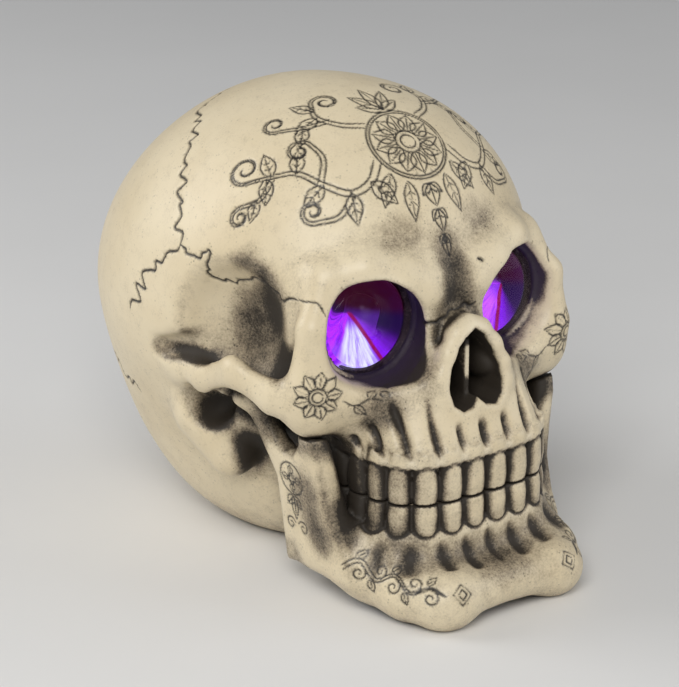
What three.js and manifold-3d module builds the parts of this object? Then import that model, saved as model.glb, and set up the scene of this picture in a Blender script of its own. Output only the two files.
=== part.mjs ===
// A table skull with lit eyes: a hollow cast cranium, a cast jaw, two lamp eyes and a battery box in the base.
// Millimetres, +Z up, the face looks along -Y, and the table is at z = 0.
import * as THREE from 'three';
import { mergeVertices } from 'three/addons/utils/BufferGeometryUtils.js';
import Module from 'manifold-3d';

// Driving dimensions.
const SKULL_LENGTH = 179;
const WALL = 7;
const GAP = 0.3;
const BITE_HEIGHT = 35;
const UPPER_CROWN = 11.5;
const LOWER_CROWN = 9.5;
const ROOT = 5;
const EYE_SPREAD = 23.4;
const EYE_HEIGHT = 85.2;
const LENS_WIDTH = 31.8;
const LENS_HEIGHT = 30.6;
const LENS_RIM = 3;
const LENS_DOME = 4.2;
const LED_DIAMETER = 8;
const LED_LENGTH = 11;
const LED_SHIFT = 5.5;
const WIRE_DIAMETER = 1.4;
const CELL_DIAMETER = 11.6;
const CELL_HEIGHT = 5.4;
const CELL_COUNT = 3;
const PLASTIC = 1.5;
const BOX_Y = 18;
const SWITCH_TRAVEL = 3.6;

// Sculpted points are given on a skull 179 mm long and follow its length.
const UNIT = SKULL_LENGTH / 179;
// How far behind the origin of the sculpted forms the middle of the finished skull lies.
const MIDDLE = 1.9 * UNIT;
const at = (x, y, z) => [x * UNIT, y * UNIT, z * UNIT];

const wasm = await Module();
wasm.setup();

// Solids from three.js geometry, and back.
function solid(geometry) {
  const plain = geometry.index ? geometry.toNonIndexed() : geometry.clone();
  plain.deleteAttribute('normal');
  plain.deleteAttribute('uv');
  const merged = mergeVertices(plain, 1e-4);
  const corners = merged.index.array;
  const kept = [];
  for (let i = 0; i < corners.length; i += 3) {
    const [a, b, c] = [corners[i], corners[i + 1], corners[i + 2]];
    if (a !== b && b !== c && c !== a) kept.push(a, b, c);
  }
  const body = (tris) => new wasm.Manifold(new wasm.Mesh({
    numProp: 3,
    vertProperties: new Float32Array(merged.attributes.position.array),
    triVerts: new Uint32Array(tris),
  }));
  const made = body(kept);
  return made.volume() > 0 ? made : body(kept.slice().reverse());
}

function geometryOf(body) {
  const { vertProperties, triVerts } = body.getMesh();
  const geometry = new THREE.BufferGeometry();
  geometry.setAttribute('position', new THREE.BufferAttribute(new Float32Array(vertProperties), 3));
  geometry.setIndex(new THREE.BufferAttribute(new Uint32Array(triVerts), 1));
  geometry.computeVertexNormals();
  return geometry;
}

function box(x0, x1, y0, y1, z0, z1) {
  const geometry = new THREE.BoxGeometry(x1 - x0, y1 - y0, z1 - z0);
  return solid(geometry.translate((x0 + x1) / 2, (y0 + y1) / 2, (z0 + z1) / 2));
}

function roundedPlate(width, length, corner, z0, z1, y = 0, x = 0) {
  const [w, l] = [width / 2, length / 2];
  const shape = new THREE.Shape();
  shape.moveTo(-w + corner, -l);
  shape.lineTo(w - corner, -l);
  shape.absarc(w - corner, -l + corner, corner, -Math.PI / 2, 0);
  shape.lineTo(w, l - corner);
  shape.absarc(w - corner, l - corner, corner, 0, Math.PI / 2);
  shape.lineTo(-w + corner, l);
  shape.absarc(-w + corner, l - corner, corner, Math.PI / 2, Math.PI);
  shape.lineTo(-w, -l + corner);
  shape.absarc(-w + corner, -l + corner, corner, Math.PI, Math.PI * 1.5);
  const geometry = new THREE.ExtrudeGeometry(shape, { depth: z1 - z0, bevelEnabled: false, curveSegments: 4 });
  return solid(geometry.translate(x, y, z0));
}

// A turned body: the profile is (radius, height) pairs, stood on `base` along `axis`.
function turned(profile, base, axis, sides = 16, stretch = [1, 1]) {
  const geometry = new THREE.LatheGeometry(profile.map(([r, h]) => new THREE.Vector2(r, h)), sides);
  geometry.scale(stretch[0], 1, stretch[1]);
  const turn = new THREE.Quaternion().setFromUnitVectors(new THREE.Vector3(0, 1, 0), axis.clone().normalize());
  geometry.applyQuaternion(turn);
  return solid(geometry.translate(...base));
}

function rodAlong(base, axis, radius, length, sides = 12) {
  return turned([[0, 0], [radius, 0], [radius, length], [0, length]], base, axis, sides);
}

const FRONT = new THREE.Vector3(0, -1, 0);
const BACK = new THREE.Vector3(0, 1, 0);
const UP = new THREE.Vector3(0, 0, 1);
const ACROSS = new THREE.Vector3(1, 0, 0);

function circle(radius, sides) {
  const shape = new THREE.Shape();
  for (let i = 0; i < sides; i++) {
    const t = (i / sides) * Math.PI * 2;
    if (i === 0) shape.moveTo(radius, 0);
    else shape.lineTo(radius * Math.cos(t), radius * Math.sin(t));
  }
  return shape;
}

function tube(curve, radius, sides, steps) {
  return solid(new THREE.ExtrudeGeometry(circle(radius, sides), { extrudePath: curve, steps, bevelEnabled: false }));
}

// Sculpting: a form is a function of a point, negative inside.
const ball = (c, r) => (x, y, z) => {
  const [a, b, e] = [(x - c[0]) / r[0], (y - c[1]) / r[1], (z - c[2]) / r[2]];
  const far = Math.hypot(a, b, e);
  const steep = Math.hypot(a / r[0], b / r[1], e / r[2]);
  return (far * (far - 1)) / Math.max(steep, 1e-6);
};

const rod = (a, ra, b, rb, flat = 1) => {
  const d = [(b[0] - a[0]) * flat, b[1] - a[1], b[2] - a[2]];
  const dd = d[0] * d[0] + d[1] * d[1] + d[2] * d[2];
  return (x, y, z) => {
    const q = [(x - a[0]) * flat, y - a[1], z - a[2]];
    const h = THREE.MathUtils.clamp((q[0] * d[0] + q[1] * d[1] + q[2] * d[2]) / dd, 0, 1);
    const far = Math.hypot(q[0] - h * d[0], q[1] - h * d[1], q[2] - h * d[2]);
    return (far - (ra + (rb - ra) * h)) / Math.sqrt(flat);
  };
};

function blend(a, b, k) {
  const h = Math.max(k - Math.abs(a - b), 0) / k;
  return Math.min(a, b) - h * h * k * 0.25;
}

const join = (f, g, k) => (x, y, z) => blend(f(x, y, z), g(x, y, z), k * UNIT);
const cut = (f, g, k) => (x, y, z) => -blend(-f(x, y, z), g(x, y, z), k * UNIT);
const keep = (f, g, k) => (x, y, z) => -blend(-f(x, y, z), -g(x, y, z), k * UNIT);

// A run of tapered rods through [x, y, z, radius] points.
function chain(points, k, flat = 1) {
  let form = null;
  for (let i = 1; i < points.length; i++) {
    const [a, b] = [points[i - 1], points[i]];
    const next = rod(at(...a.slice(0, 3)), a[3] * UNIT, at(...b.slice(0, 3)), b[3] * UNIT, flat);
    form = form ? join(form, next, k) : next;
  }
  return form;
}

const lump = (c, r) => ball(at(...c), at(...r));

// The rows of teeth follow a square-fronted arch.
const ARCH = { width: 29.3 * UNIT, front: -69.2 * UNIT, back: -30 * UNIT, power: 4.2 };

function archDistance(x, y) {
  const depth = ARCH.back - ARCH.front;
  const p = ARCH.power;
  const [u, v] = [x / ARCH.width, Math.max(ARCH.back - y, 0) / depth];
  const far = Math.max((u ** p + v ** p) ** (1 / p), 1e-6);
  const slope = Math.hypot((u / far) ** (p - 1) / ARCH.width, (v / far) ** (p - 1) / depth);
  return (far - 1) / Math.max(slope, 1e-6);
}

// A ridge of gum along the arch; above the crowns it draws in by `slim` and leans back by `lean` per millimetre.
const gum = (height, half, thick, slim, lean) => (x, y, z) => {
  const up = THREE.MathUtils.clamp(z - 47 * UNIT, 0, 30 * UNIT) / UNIT;
  const off = Math.abs(archDistance(x / (1 - slim * up), y - lean * up * UNIT)) / (thick * UNIT);
  const rise = Math.abs(z - height * UNIT) / (half * UNIT);
  return keepBack(((off ** 3.4 + rise ** 3.4) ** (1 / 3.4) - 1) * thick * UNIT, y);
};

function keepBack(d, y) {
  return -blend(-d, -(y + 33 * UNIT), 4 * UNIT);
}

// Distance to a closed outline in a plane, negative inside.
function outlineDistance(points, u, v) {
  let least = Infinity;
  let sign = 1;
  for (let i = 0; i < points.length; i++) {
    const [a, b] = [points[i], points[(i + 1) % points.length]];
    const [ex, ey, wx, wy] = [b[0] - a[0], b[1] - a[1], u - a[0], v - a[1]];
    const h = THREE.MathUtils.clamp((wx * ex + wy * ey) / (ex * ex + ey * ey), 0, 1);
    least = Math.min(least, (wx - ex * h) ** 2 + (wy - ey * h) ** 2);
    const [above, below, left] = [v >= a[1], v < b[1], ex * wy > ey * wx];
    if ((above && below && left) || (!above && !below && !left)) sign = -sign;
  }
  return sign * Math.sqrt(least);
}

// Bone of the cranium. Each eye is a tube that draws in from its rim to its lens.
const EYE = [EYE_SPREAD * UNIT, -46 * UNIT, EYE_HEIGHT * UNIT];
const LENS_BACK = EYE[1] + 3.5;
const LENS_FRONT = LENS_BACK - LENS_RIM;
const RIM = { x: EYE[0] + 4.9 * UNIT, y: EYE[1] - 10 * UNIT, z: EYE[2] - 0.6 * UNIT, tilt: 0.06, power: 2.1 };

const socket = (x, y, z) => {
  const deep = THREE.MathUtils.clamp((y - RIM.y) / (LENS_FRONT - RIM.y), 0, 1);
  const mix = THREE.MathUtils.lerp;
  const rx = LENS_WIDTH / 2 + mix(1.4, 1.2, deep);
  const rz = LENS_HEIGHT / 2 + mix(1.3, 1.2, deep);
  const tilt = RIM.tilt * (x - RIM.x) * (1 - deep);
  const u = Math.abs(x - mix(RIM.x, EYE[0], deep)) / rx;
  const v = Math.abs(z - mix(RIM.z, EYE[2], deep) - tilt) / rz;
  return Math.max(((u ** RIM.power + v ** RIM.power) ** (1 / RIM.power) - 1) * rz, y - LENS_FRONT);
};

// Half the outline of the nose's opening, from its top to the notch below.
const NOSE_HALF = [
  [0, 84.6], [3.5, 82.2], [6.8, 77.2], [9.3, 71.6], [9.9, 67], [8.9, 62.8], [6, 60.5], [2.6, 61.2], [0, 63.6],
];
const NOSE = [...NOSE_HALF, ...NOSE_HALF.slice(1, -1).reverse().map(([x, z]) => [-x, z])]
  .map(([x, z]) => [x * UNIT, z * UNIT]);
const nostrils = (x, y, z) => Math.max(outlineDistance(NOSE, x, z), y + 45 * UNIT);

function sculptCranium() {
  let bone = lump([0, 21, 77], [61, 70.5, 56]);
  bone = join(bone, lump([0, 12, 88], [57, 58, 56]), 14);
  bone = join(bone, lump([0, -8, 92], [55, 44.5, 50]), 12);
  bone = join(bone, lump([0, 34, 44], [46, 48, 47.5]), 16);
  bone = join(bone, lump([0, 15, 26], [38, 43, 31]), 12);
  const vault = bone;
  bone = cut(bone, lump([65, -25, 82], [23, 24.5, 26]), 4);
  bone = join(bone, lump([38.5, -37, 86], [5.5, 9, 15]), 6);
  bone = cut(bone, lump([46, -19, 55.5], [9, 9, 9.5]), 4);
  const brow = [[0, -45.2, 97, 4.6], [9.5, -51.6, 95.8, 4.6], [17, -51, 99.2, 4.7], [27, -47.5, 103, 4.6],
    [36.5, -41.5, 100.5, 4.1]];
  bone = join(bone, chain(brow, 4), 9);
  bone = join(bone, chain([[37, -42, 101, 4.1], [44.5, -45.5, 88, 4.4], [45, -45.5, 73, 6.6]], 3), 4);
  bone = join(bone, chain([[44, -45.5, 70, 6.2], [28, -49.5, 62.8, 5.2], [14, -54.5, 66.5, 5]], 4), 5);
  bone = join(bone, chain([[5, -47.5, 94, 4.2], [8, -51.5, 82, 4.4], [12.5, -57.5, 68, 6]], 4), 5);
  bone = join(bone, chain([[0, -44.8, 91, 4.8], [0, -50.6, 82.8, 5], [0, -61.2, 82.2, 4.8]], 4), 3);
  bone = join(bone, lump([0, -42, 60], [27, 20, 20]), 8);
  bone = join(bone, lump([0, -45, 55], [26, 21, 9]), 6);
  bone = join(bone, gum(58, 11, 4.3, 0.013, 0.42), 6);
  const noseRim = [[0, -61.8, 84.6, 3.2], [4.4, -62.2, 82.8, 3], [8.6, -63, 77.5, 2.8], [11.2, -63.4, 71.5, 2.8],
    [11.5, -63.8, 65.5, 2.8], [6.6, -65, 60.6, 2.8], [0, -65.6, 61.6, 2.4]];
  bone = join(bone, chain(noseRim, 2), 3);
  bone = join(bone, chain([[41, -43, 62, 6.5], [28, -43, 56, 6]], 4), 6);
  bone = join(bone, lump([43.5, -43.5, 63], [8.5, 6.5, 8.5]), 5);
  const cheekArch = [[45.5, -44, 65, 6.2], [53, -36.5, 66.5, 4.7], [57.6, -24, 71.6, 4.2], [57.8, -8, 65, 3.7],
    [57, 4, 64.5, 3.7], [54, 16, 66, 3]];
  bone = join(bone, chain(cheekArch, 3, 1.5), 4);
  bone = cut(bone, chain([[57.5, -8, 75.5, 4.2], [60, 9, 70.5, 3]], 3), 3);
  bone = join(bone, chain([[47, 5, 48, 10.5], [44.5, -4, 36.5, 7.5]], 4), 5);
  bone = cut(bone, lump([53, -4, 54.5], [11, 6, 8]), 2.5);
  bone = cut(bone, socket, 1.4);
  bone = cut(bone, nostrils, 1.3);
  bone = join(bone, lump([9.2, -54, 70], [3, 8, 5]), 1.5);
  return { bone, vault };
}

// Bone of the jaw, kept clear of the cranium.
const RAMUS = [
  [-23.5, 6], [-24.5, 22], [-25, 36], [-20, 45], [-14.5, 54.5], [-12.5, 59], [-14.5, 62.5], [-20.5, 62], [-24, 54.5],
  [-27.5, 48.5], [-31.5, 46], [-36, 47], [-39, 51], [-40, 57], [-42.5, 60], [-47.5, 58], [-50, 50], [-50.5, 40],
  [-51.5, 30], [-55, 22], [-58, 10], [-41.5, 9],
].map(([y, z]) => [y * UNIT, z * UNIT]);

function sculptJaw(cranium) {
  let bone = chain([[0, -79, 9, 6.8], [18, -78.8, 8.5, 7.2], [27.5, -70, 9, 7], [33, -54, 12.5, 6.6],
    [35, -38, 15, 6.4]], 5);
  bone = join(bone, lump([22, -78.5, 7.2], [8.5, 7.8, 7.8]), 5);
  bone = join(bone, gum(16, 11, 4.2, 0, 0), 9);
  const plate = (x, y, z) => {
    const up = z / UNIT - 12;
    return Math.abs(x - (35.3 + up * 0.2) * UNIT) - (5.2 - up * 0.04) * UNIT;
  };
  let ramus = keep(plate, (x, y, z) => outlineDistance(RAMUS, y, z), 4);
  ramus = join(ramus, lump([45.5, -16, 59.5], [6.5, 4, 4]), 4);
  bone = join(bone, ramus, 4);
  return cut(bone, (x, y, z) => cranium(x, y, z) - 1.2, 0.5);
}

// A net of quads over a form's surface: one vertex in each cell that the surface crosses.
function spaced(...spans) {
  const out = [spans[0][0]];
  for (const [start, end, step] of spans) {
    const n = Math.max(1, Math.round((end - start) / step));
    for (let i = 1; i <= n; i++) out.push(start + ((end - start) * i) / n);
  }
  return out.map((value) => value * UNIT);
}

// Sheets of the surface inside one cell, found by joining the crossed edges of its faces.
function sheetsOf(inside) {
  const root = Array.from({ length: 12 }, (_, i) => i);
  const find = (i) => (root[i] === i ? i : find(root[i]));
  const edge = (d, s, t) => d * 4 + s + 2 * t;
  for (let n = 0; n < 3; n++)
    for (const w of [0, 1]) {
      const [p, q] = [(n + 1) % 3, (n + 2) % 3];
      const corner = (u, v) => inside((w << n) | (u << p) | (v << q));
      const ring = [corner(0, 0), corner(1, 0), corner(1, 1), corner(0, 1)];
      const edges = [edge(p, 0, w), edge(q, w, 1), edge(p, 1, w), edge(q, w, 0)];
      const crossed = edges.filter((_, i) => ring[i] !== ring[(i + 1) % 4]);
      if (crossed.length === 2) root[find(crossed[0])] = find(crossed[1]);
      if (crossed.length === 4)
        for (let i = 0; i < 4; i++) if (ring[i]) root[find(edges[(i + 3) % 4])] = find(edges[i]);
    }
  return find;
}

function net(form, gx, gy, gz) {
  const half = (x, y, z) => form(Math.abs(x), y, z);
  const grid = [gx, gy, gz];
  const size = grid.map((axis) => axis.length);
  const index = (c) => (c[0] * size[1] + c[1]) * size[2] + c[2];
  const place = (c) => c.map((n, m) => grid[m][n]);
  const step = (c, bits) => c.map((n, m) => n + ((bits >> m) & 1));
  const value = new Float64Array(size[0] * size[1] * size[2]);
  const each = (low, high, act) => {
    for (let i = low; i < size[0] - high; i++)
      for (let j = low; j < size[1] - high; j++) for (let k = low; k < size[2] - high; k++) act([i, j, k]);
  };
  each(0, 0, (c) => {
    value[index(c)] = half(...place(c));
  });
  const vertex = new Map();
  const points = [];
  each(0, 1, (c) => {
    const levels = Array.from({ length: 8 }, (_, bits) => value[index(step(c, bits))]);
    if (levels.every((l) => l < 0) || levels.every((l) => l >= 0)) return;
    const find = sheetsOf((bits) => levels[bits] < 0);
    const sums = new Map();
    for (let e = 0; e < 12; e++) {
      const d = e >> 2;
      const a = ((e & 1) << ((d + 1) % 3)) | (((e >> 1) & 1) << ((d + 2) % 3));
      const b = a | (1 << d);
      if (levels[a] < 0 === levels[b] < 0) continue;
      const t = levels[a] / (levels[a] - levels[b]);
      const [pa, pb] = [place(step(c, a)), place(step(c, b))];
      const sum = sums.get(find(e)) ?? { at: [0, 0, 0], edges: [] };
      sum.at = sum.at.map((n, m) => n + pa[m] + (pb[m] - pa[m]) * t);
      sum.edges.push(e);
      sums.set(find(e), sum);
    }
    for (const sum of sums.values()) {
      for (const e of sum.edges) vertex.set(index(c) * 12 + e, points.length);
      points.push(settle(half, settle(half, sum.at.map((n) => n / sum.edges.length))));
    }
  });
  const triangles = [];
  const far = (p, q) => Math.hypot(...points[p].map((n, m) => n - points[q][m]));
  each(1, 1, (c) => {
    for (let d = 0; d < 3; d++) {
      const [inA, inB] = [value[index(c)] < 0, value[index(step(c, 1 << d))] < 0];
      if (inA === inB) continue;
      const corner = (s, t) => {
        const cell = c.slice();
        cell[(d + 1) % 3] -= s;
        cell[(d + 2) % 3] -= t;
        return vertex.get(index(cell) * 12 + d * 4 + s + 2 * t);
      };
      const ring = [corner(1, 1), corner(0, 1), corner(0, 0), corner(1, 0)];
      if (!inA) ring.reverse();
      const [p, q, r, s] = ring;
      if (far(p, r) <= far(q, s)) triangles.push(p, q, r, p, r, s);
      else triangles.push(p, q, s, q, r, s);
    }
  });
  const geometry = new THREE.BufferGeometry();
  geometry.setAttribute('position', new THREE.Float32BufferAttribute(points.flat(), 3));
  geometry.setIndex(triangles);
  return solid(geometry);
}

// One step of each net point onto the surface itself, held to a short move.
function settle(form, point) {
  const e = 0.05;
  const d = form(...point);
  const slope = [0, 1, 2].map((m) => {
    const [a, b] = [point.slice(), point.slice()];
    a[m] += e;
    b[m] -= e;
    return (form(...a) - form(...b)) / (2 * e);
  });
  const steep = Math.max(slope[0] ** 2 + slope[1] ** 2 + slope[2] ** 2, 0.04);
  const move = THREE.MathUtils.clamp(d / steep, -0.7, 0.7);
  return point.map((n, m) => n - slope[m] * move);
}

// Crowns, each a rounded wedge that is narrower at the gum.
const TOOTH_WIDTHS = [8.4, 8, 7.4, 7, 7, 8, 8];

function archPath() {
  const count = 400;
  const n = 2 / ARCH.power;
  const path = [];
  for (let i = 0; i <= count; i++) {
    const t = (i / count) * (Math.PI / 2);
    const x = ARCH.width * Math.sin(t) ** n;
    const y = ARCH.back + (ARCH.front - ARCH.back) * Math.max(Math.cos(t), 0) ** n;
    const last = path[path.length - 1];
    path.push({ x, y, s: last ? last.s + Math.hypot(x - last.x, y - last.y) : 0 });
  }
  return path;
}

function crown(width, height, depth) {
  const w = width / 2;
  const top = height + ROOT * UNIT;
  const outline = [[-0.62 * w, top], [-0.98 * w, height * 0.42], [-0.92 * w, 1], [-0.7 * w, 0],
    [0.7 * w, 0], [0.92 * w, 1], [0.98 * w, height * 0.42], [0.62 * w, top]];
  const shape = new THREE.Shape(outline.map(([u, v]) => new THREE.Vector2(u, v)));
  return new THREE.ExtrudeGeometry(shape, {
    depth: depth - 1.2, bevelEnabled: true, bevelThickness: 1.2, bevelSize: 1.1, bevelOffset: -1.1, bevelSegments: 1,
  });
}

function crowns(sign) {
  const path = archPath();
  const height = sign > 0 ? UPPER_CROWN : LOWER_CROWN;
  const made = [];
  let start = 0;
  for (const width of TOOTH_WIDTHS.map((w) => w * UNIT)) {
    const s = start + width / 2;
    start += width;
    const k = path.findIndex((p) => p.s >= s);
    const [p, q] = [path[k - 2], path[k + 2]];
    for (const side of [1, -1]) {
      const tangent = new THREE.Vector3(side * (q.x - p.x), q.y - p.y, 0).normalize();
      const up = new THREE.Vector3(0, 0, sign);
      if (side * sign < 0) tangent.negate();
      const out = new THREE.Vector3().crossVectors(tangent, up);
      const geometry = crown(width * 0.97, height * UNIT, 6.4 * UNIT);
      const stand = new THREE.Matrix4().makeBasis(tangent, up, out);
      const foot = out.clone().multiplyScalar(-2.8 * UNIT);
      stand.setPosition(side * path[k].x + foot.x, path[k].y + foot.y, BITE_HEIGHT * UNIT + sign * GAP * 0.6);
      made.push(solid(geometry.applyMatrix4(stand)));
    }
  }
  return made;
}

// The lamp eyes. Both lamps stand a little towards the skull's left.
const LAMP = [EYE[0], LENS_BACK + 1, EYE[2]];
const LAMP_SIZE = [LENS_WIDTH / 2 - 2, 13, LENS_HEIGHT / 2 - 1.6];
const HOLDER_Z = EYE[2] - 6;
const HOLDER_Y = LENS_BACK + 9.4;
const HOLDER_RADIUS = 4.6;
const HOLDER_LENGTH = 12;
const LED_LEAN = new THREE.Vector3(0, -0.34, 0.94).normalize();
const lampX = (side) => side * EYE[0] + LED_SHIFT;
const ledFoot = (side) => [lampX(side), HOLDER_Y + 0.5, HOLDER_Z - 0.4];
const CUP_DEPTH = 4;
const CUP_RADIUS = LED_DIAMETER / 2 + 1.8;
const STRETCH = [1, LENS_HEIGHT / LENS_WIDTH];

function lens(side) {
  const r = LENS_WIDTH / 2;
  const profile = [[0, 0], [r - 3, 0], [r, 0], [r, LENS_RIM], [r - 1.2, LENS_RIM]];
  for (let i = 1; i <= 4; i++) {
    const t = (i / 5) * (Math.PI / 2);
    profile.push([(r - 1.2) * Math.cos(t), LENS_RIM + LENS_DOME * Math.sin(t)]);
  }
  profile.push([0, LENS_RIM + LENS_DOME]);
  return turned(profile, [side * EYE[0], LENS_BACK, EYE[2]], FRONT, 20, STRETCH);
}

function lensPocket(side) {
  const r = LENS_WIDTH / 2 + GAP;
  const depth = LENS_RIM + 1.2;
  const seat = turned([[0, -GAP], [r, -GAP], [r, depth], [0, depth]], [side * EYE[0], LENS_BACK, EYE[2]], FRONT, 20, STRETCH);
  const cup = new THREE.SphereGeometry(1, 12, 8).scale(...LAMP_SIZE);
  const lampRoom = solid(cup.translate(side * LAMP[0], LAMP[1], LAMP[2]));
  const bore = rodAlong([lampX(side), HOLDER_Y - 3, HOLDER_Z], BACK, HOLDER_RADIUS + GAP, 24 * UNIT);
  const drop = LED_LEAN.clone().multiplyScalar(-CUP_DEPTH - GAP);
  const foot = ledFoot(side);
  const cupBase = [foot[0], foot[1] + drop.y, foot[2] + drop.z];
  const well = rodAlong(cupBase, LED_LEAN, CUP_RADIUS + GAP, CUP_DEPTH + 6);
  return seat.add(lampRoom).add(bore).add(well);
}

function led(side) {
  const r = LED_DIAMETER / 2;
  const straight = LED_LENGTH - r;
  const profile = [[0, 0], [r + 0.6, 0], [r + 0.6, 1.4], [r, 1.4], [r, straight]];
  for (let i = 1; i <= 3; i++) {
    const t = (i / 4) * (Math.PI / 2);
    profile.push([r * Math.cos(t), straight + r * Math.sin(t)]);
  }
  profile.push([0, LED_LENGTH]);
  const foot = ledFoot(side);
  let body = turned(profile, foot, LED_LEAN, 12);
  for (const x of [-1.27, 1.27]) {
    const down = LED_LEAN.clone().negate();
    body = body.add(rodAlong([foot[0] + x, foot[1] - down.y * 0.5, foot[2] - down.z * 0.5], down, 0.3, 3.2, 6));
  }
  return body;
}

function ledHolder(side) {
  const foot = ledFoot(side);
  const below = LED_LEAN.clone().multiplyScalar(-CUP_DEPTH);
  const cupBase = [foot[0], foot[1] + below.y, foot[2] + below.z];
  let body = rodAlong([lampX(side), HOLDER_Y, HOLDER_Z], BACK, HOLDER_RADIUS, HOLDER_LENGTH);
  body = body.add(rodAlong(cupBase, LED_LEAN, CUP_RADIUS, CUP_DEPTH + 1.4));
  const seat = LED_LEAN.clone().multiplyScalar(-GAP);
  body = body.subtract(rodAlong([foot[0], foot[1] + seat.y, foot[2] + seat.z], LED_LEAN, LED_DIAMETER / 2 + 0.9, 6));
  for (const x of [-1.27, 1.27]) {
    const down = LED_LEAN.clone().negate();
    body = body.subtract(rodAlong([foot[0] + x, foot[1], foot[2]], down, 0.7, 3.4, 8));
    body = body.subtract(rodAlong([foot[0] + x * 1.5, HOLDER_Y + 4, HOLDER_Z], BACK, WIRE_DIAMETER / 2 + GAP, 20, 8));
  }
  return body;
}

// The battery box, its door and its switch.
const PLATE_LOW = 0.6;
const PLATE_HIGH = 3;
const DOOR_HIGH = 2.8;
const ROOM_WIDTH = CELL_DIAMETER + 0.6;
const STACK = CELL_COUNT * CELL_HEIGHT + (CELL_COUNT - 1) * GAP;
const SPRING_LENGTH = 4.4;
const CONTACT = 0.5;
const SWITCH_ROOM = 8.2;
const BOX_WIDTH = ROOM_WIDTH + SWITCH_ROOM + 3 * PLASTIC;
const BOSS = 5.4;
const ROOM_LENGTH = CONTACT * 2 + SPRING_LENGTH + STACK + 5 * GAP;
const BOX_LENGTH = ROOM_LENGTH + BOSS + 3 * PLASTIC + 3.4;
const ROOM_X = -BOX_WIDTH / 2 + PLASTIC + ROOM_WIDTH / 2;
const SWITCH_X = BOX_WIDTH / 2 - PLASTIC - SWITCH_ROOM / 2;
const BOX_START = BOX_Y - BOX_LENGTH / 2;
const BOX_END = BOX_Y + BOX_LENGTH / 2;
const HINGE_Y = BOX_START + PLASTIC + 1.6;
const HINGE_Z = 1.8;
const HINGE_RADIUS = 1.15;
const ROOM_START = HINGE_Y + HINGE_RADIUS + 0.8;
const CELL_Z = DOOR_HIGH + 0.4 + CELL_DIAMETER / 2;
const ROOF_LOW = CELL_Z + CELL_DIAMETER / 2 + 0.4;
const ROOF_HIGH = ROOF_LOW + PLASTIC;
const BOSS_Y = BOX_END - PLASTIC - BOSS / 2 - 0.2;
const FLANGE = 2.3;
const DOOR_START = HINGE_Y;
const DOOR_END = BOX_END - PLASTIC - GAP;
const WIRES = [
  { name: 'red', x: -1.905, hole: [SWITCH_X - 1.8, -1.6] },
  { name: 'black', x: 1.905, hole: [SWITCH_X + 1.8, -1.6] },
];

function wireHole(side, wire) {
  return [wire.hole[0], BOX_Y + side * 3.2 + wire.hole[1]];
}

function batteryBox() {
  let body = roundedPlate(BOX_WIDTH + 2 * FLANGE, BOX_LENGTH + 2 * FLANGE, 3, PLATE_LOW, PLATE_HIGH, BOX_Y);
  body = body.add(roundedPlate(BOX_WIDTH, BOX_LENGTH, 2, PLATE_LOW + 0.5, ROOF_HIGH, BOX_Y));
  const roomLow = PLATE_LOW - 1;
  const left = ROOM_X - ROOM_WIDTH / 2;
  body = body.subtract(box(left, left + ROOM_WIDTH, BOX_START + PLASTIC, BOX_END - PLASTIC, roomLow, ROOF_LOW));
  const switchLow = SWITCH_X - SWITCH_ROOM / 2;
  body = body.subtract(box(switchLow, switchLow + SWITCH_ROOM, BOX_START + PLASTIC, BOX_END - PLASTIC, PLATE_HIGH, ROOF_LOW));
  const wallEnd = ROOM_START + ROOM_LENGTH;
  body = body.add(box(left - 0.5, left + ROOM_WIDTH + 0.5, wallEnd, wallEnd + PLASTIC, DOOR_HIGH + GAP, ROOF_LOW + 0.5));
  body = body.add(box(left - 0.5, left + ROOM_WIDTH + 0.5, ROOM_START - PLASTIC, ROOM_START, DOOR_HIGH + 1.2, ROOF_LOW + 0.5));
  body = body.add(rodAlong([ROOM_X, BOSS_Y, DOOR_HIGH + GAP], UP, BOSS / 2, ROOF_LOW - DOOR_HIGH));
  body = body.subtract(rodAlong([ROOM_X, BOSS_Y, DOOR_HIGH], UP, 1.5, 4));
  body = body.subtract(rodAlong([left - 1, HINGE_Y, HINGE_Z], ACROSS, 0.7 + GAP, ROOM_WIDTH + 2, 12));
  body = body.subtract(box(SWITCH_X - 1.6, SWITCH_X + 1.6, BOX_Y - 3.7, BOX_Y + 3.7, roomLow, PLATE_HIGH + 1));
  for (const side of [1, -1])
    for (const wire of WIRES) {
      const [x, y] = wireHole(side, wire);
      body = body.subtract(rodAlong([x, y, ROOF_LOW - 1], UP, WIRE_DIAMETER / 2 + GAP, 4, 8));
    }
  return body;
}

function batteryDoor() {
  const half = ROOM_WIDTH / 2 - GAP;
  const x0 = ROOM_X - half;
  let body = box(x0, x0 + 2 * half, DOOR_START, DOOR_END, PLATE_LOW, DOOR_HIGH);
  body = body.add(rodAlong([x0, HINGE_Y, HINGE_Z], ACROSS, HINGE_RADIUS, 2 * half, 12));
  body = body.add(rodAlong([x0 - 1, HINGE_Y, HINGE_Z], ACROSS, 0.7, 2 * half + 2, 12));
  body = body.subtract(box(x0 - 2, x0 + 2 * half + 2, HINGE_Y - 2, HINGE_Y + 0.01, PLATE_LOW - 1, HINGE_Z - HINGE_RADIUS + 0.01));
  body = body.subtract(rodAlong([ROOM_X, BOSS_Y, PLATE_LOW - 1], UP, 2.4, 2.2));
  body = body.subtract(rodAlong([ROOM_X, BOSS_Y, PLATE_LOW], UP, 1.5, 4));
  for (const y of [DOOR_END - 0.2, DOOR_END - 1.4]) {
    body = body.subtract(box(ROOM_X - 4.5, ROOM_X - 2.7, y - 0.5, y, PLATE_LOW - 1, PLATE_LOW + 0.4));
    body = body.subtract(box(ROOM_X + 2.7, ROOM_X + 4.5, y - 0.5, y, PLATE_LOW - 1, PLATE_LOW + 0.4));
  }
  return body;
}

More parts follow.
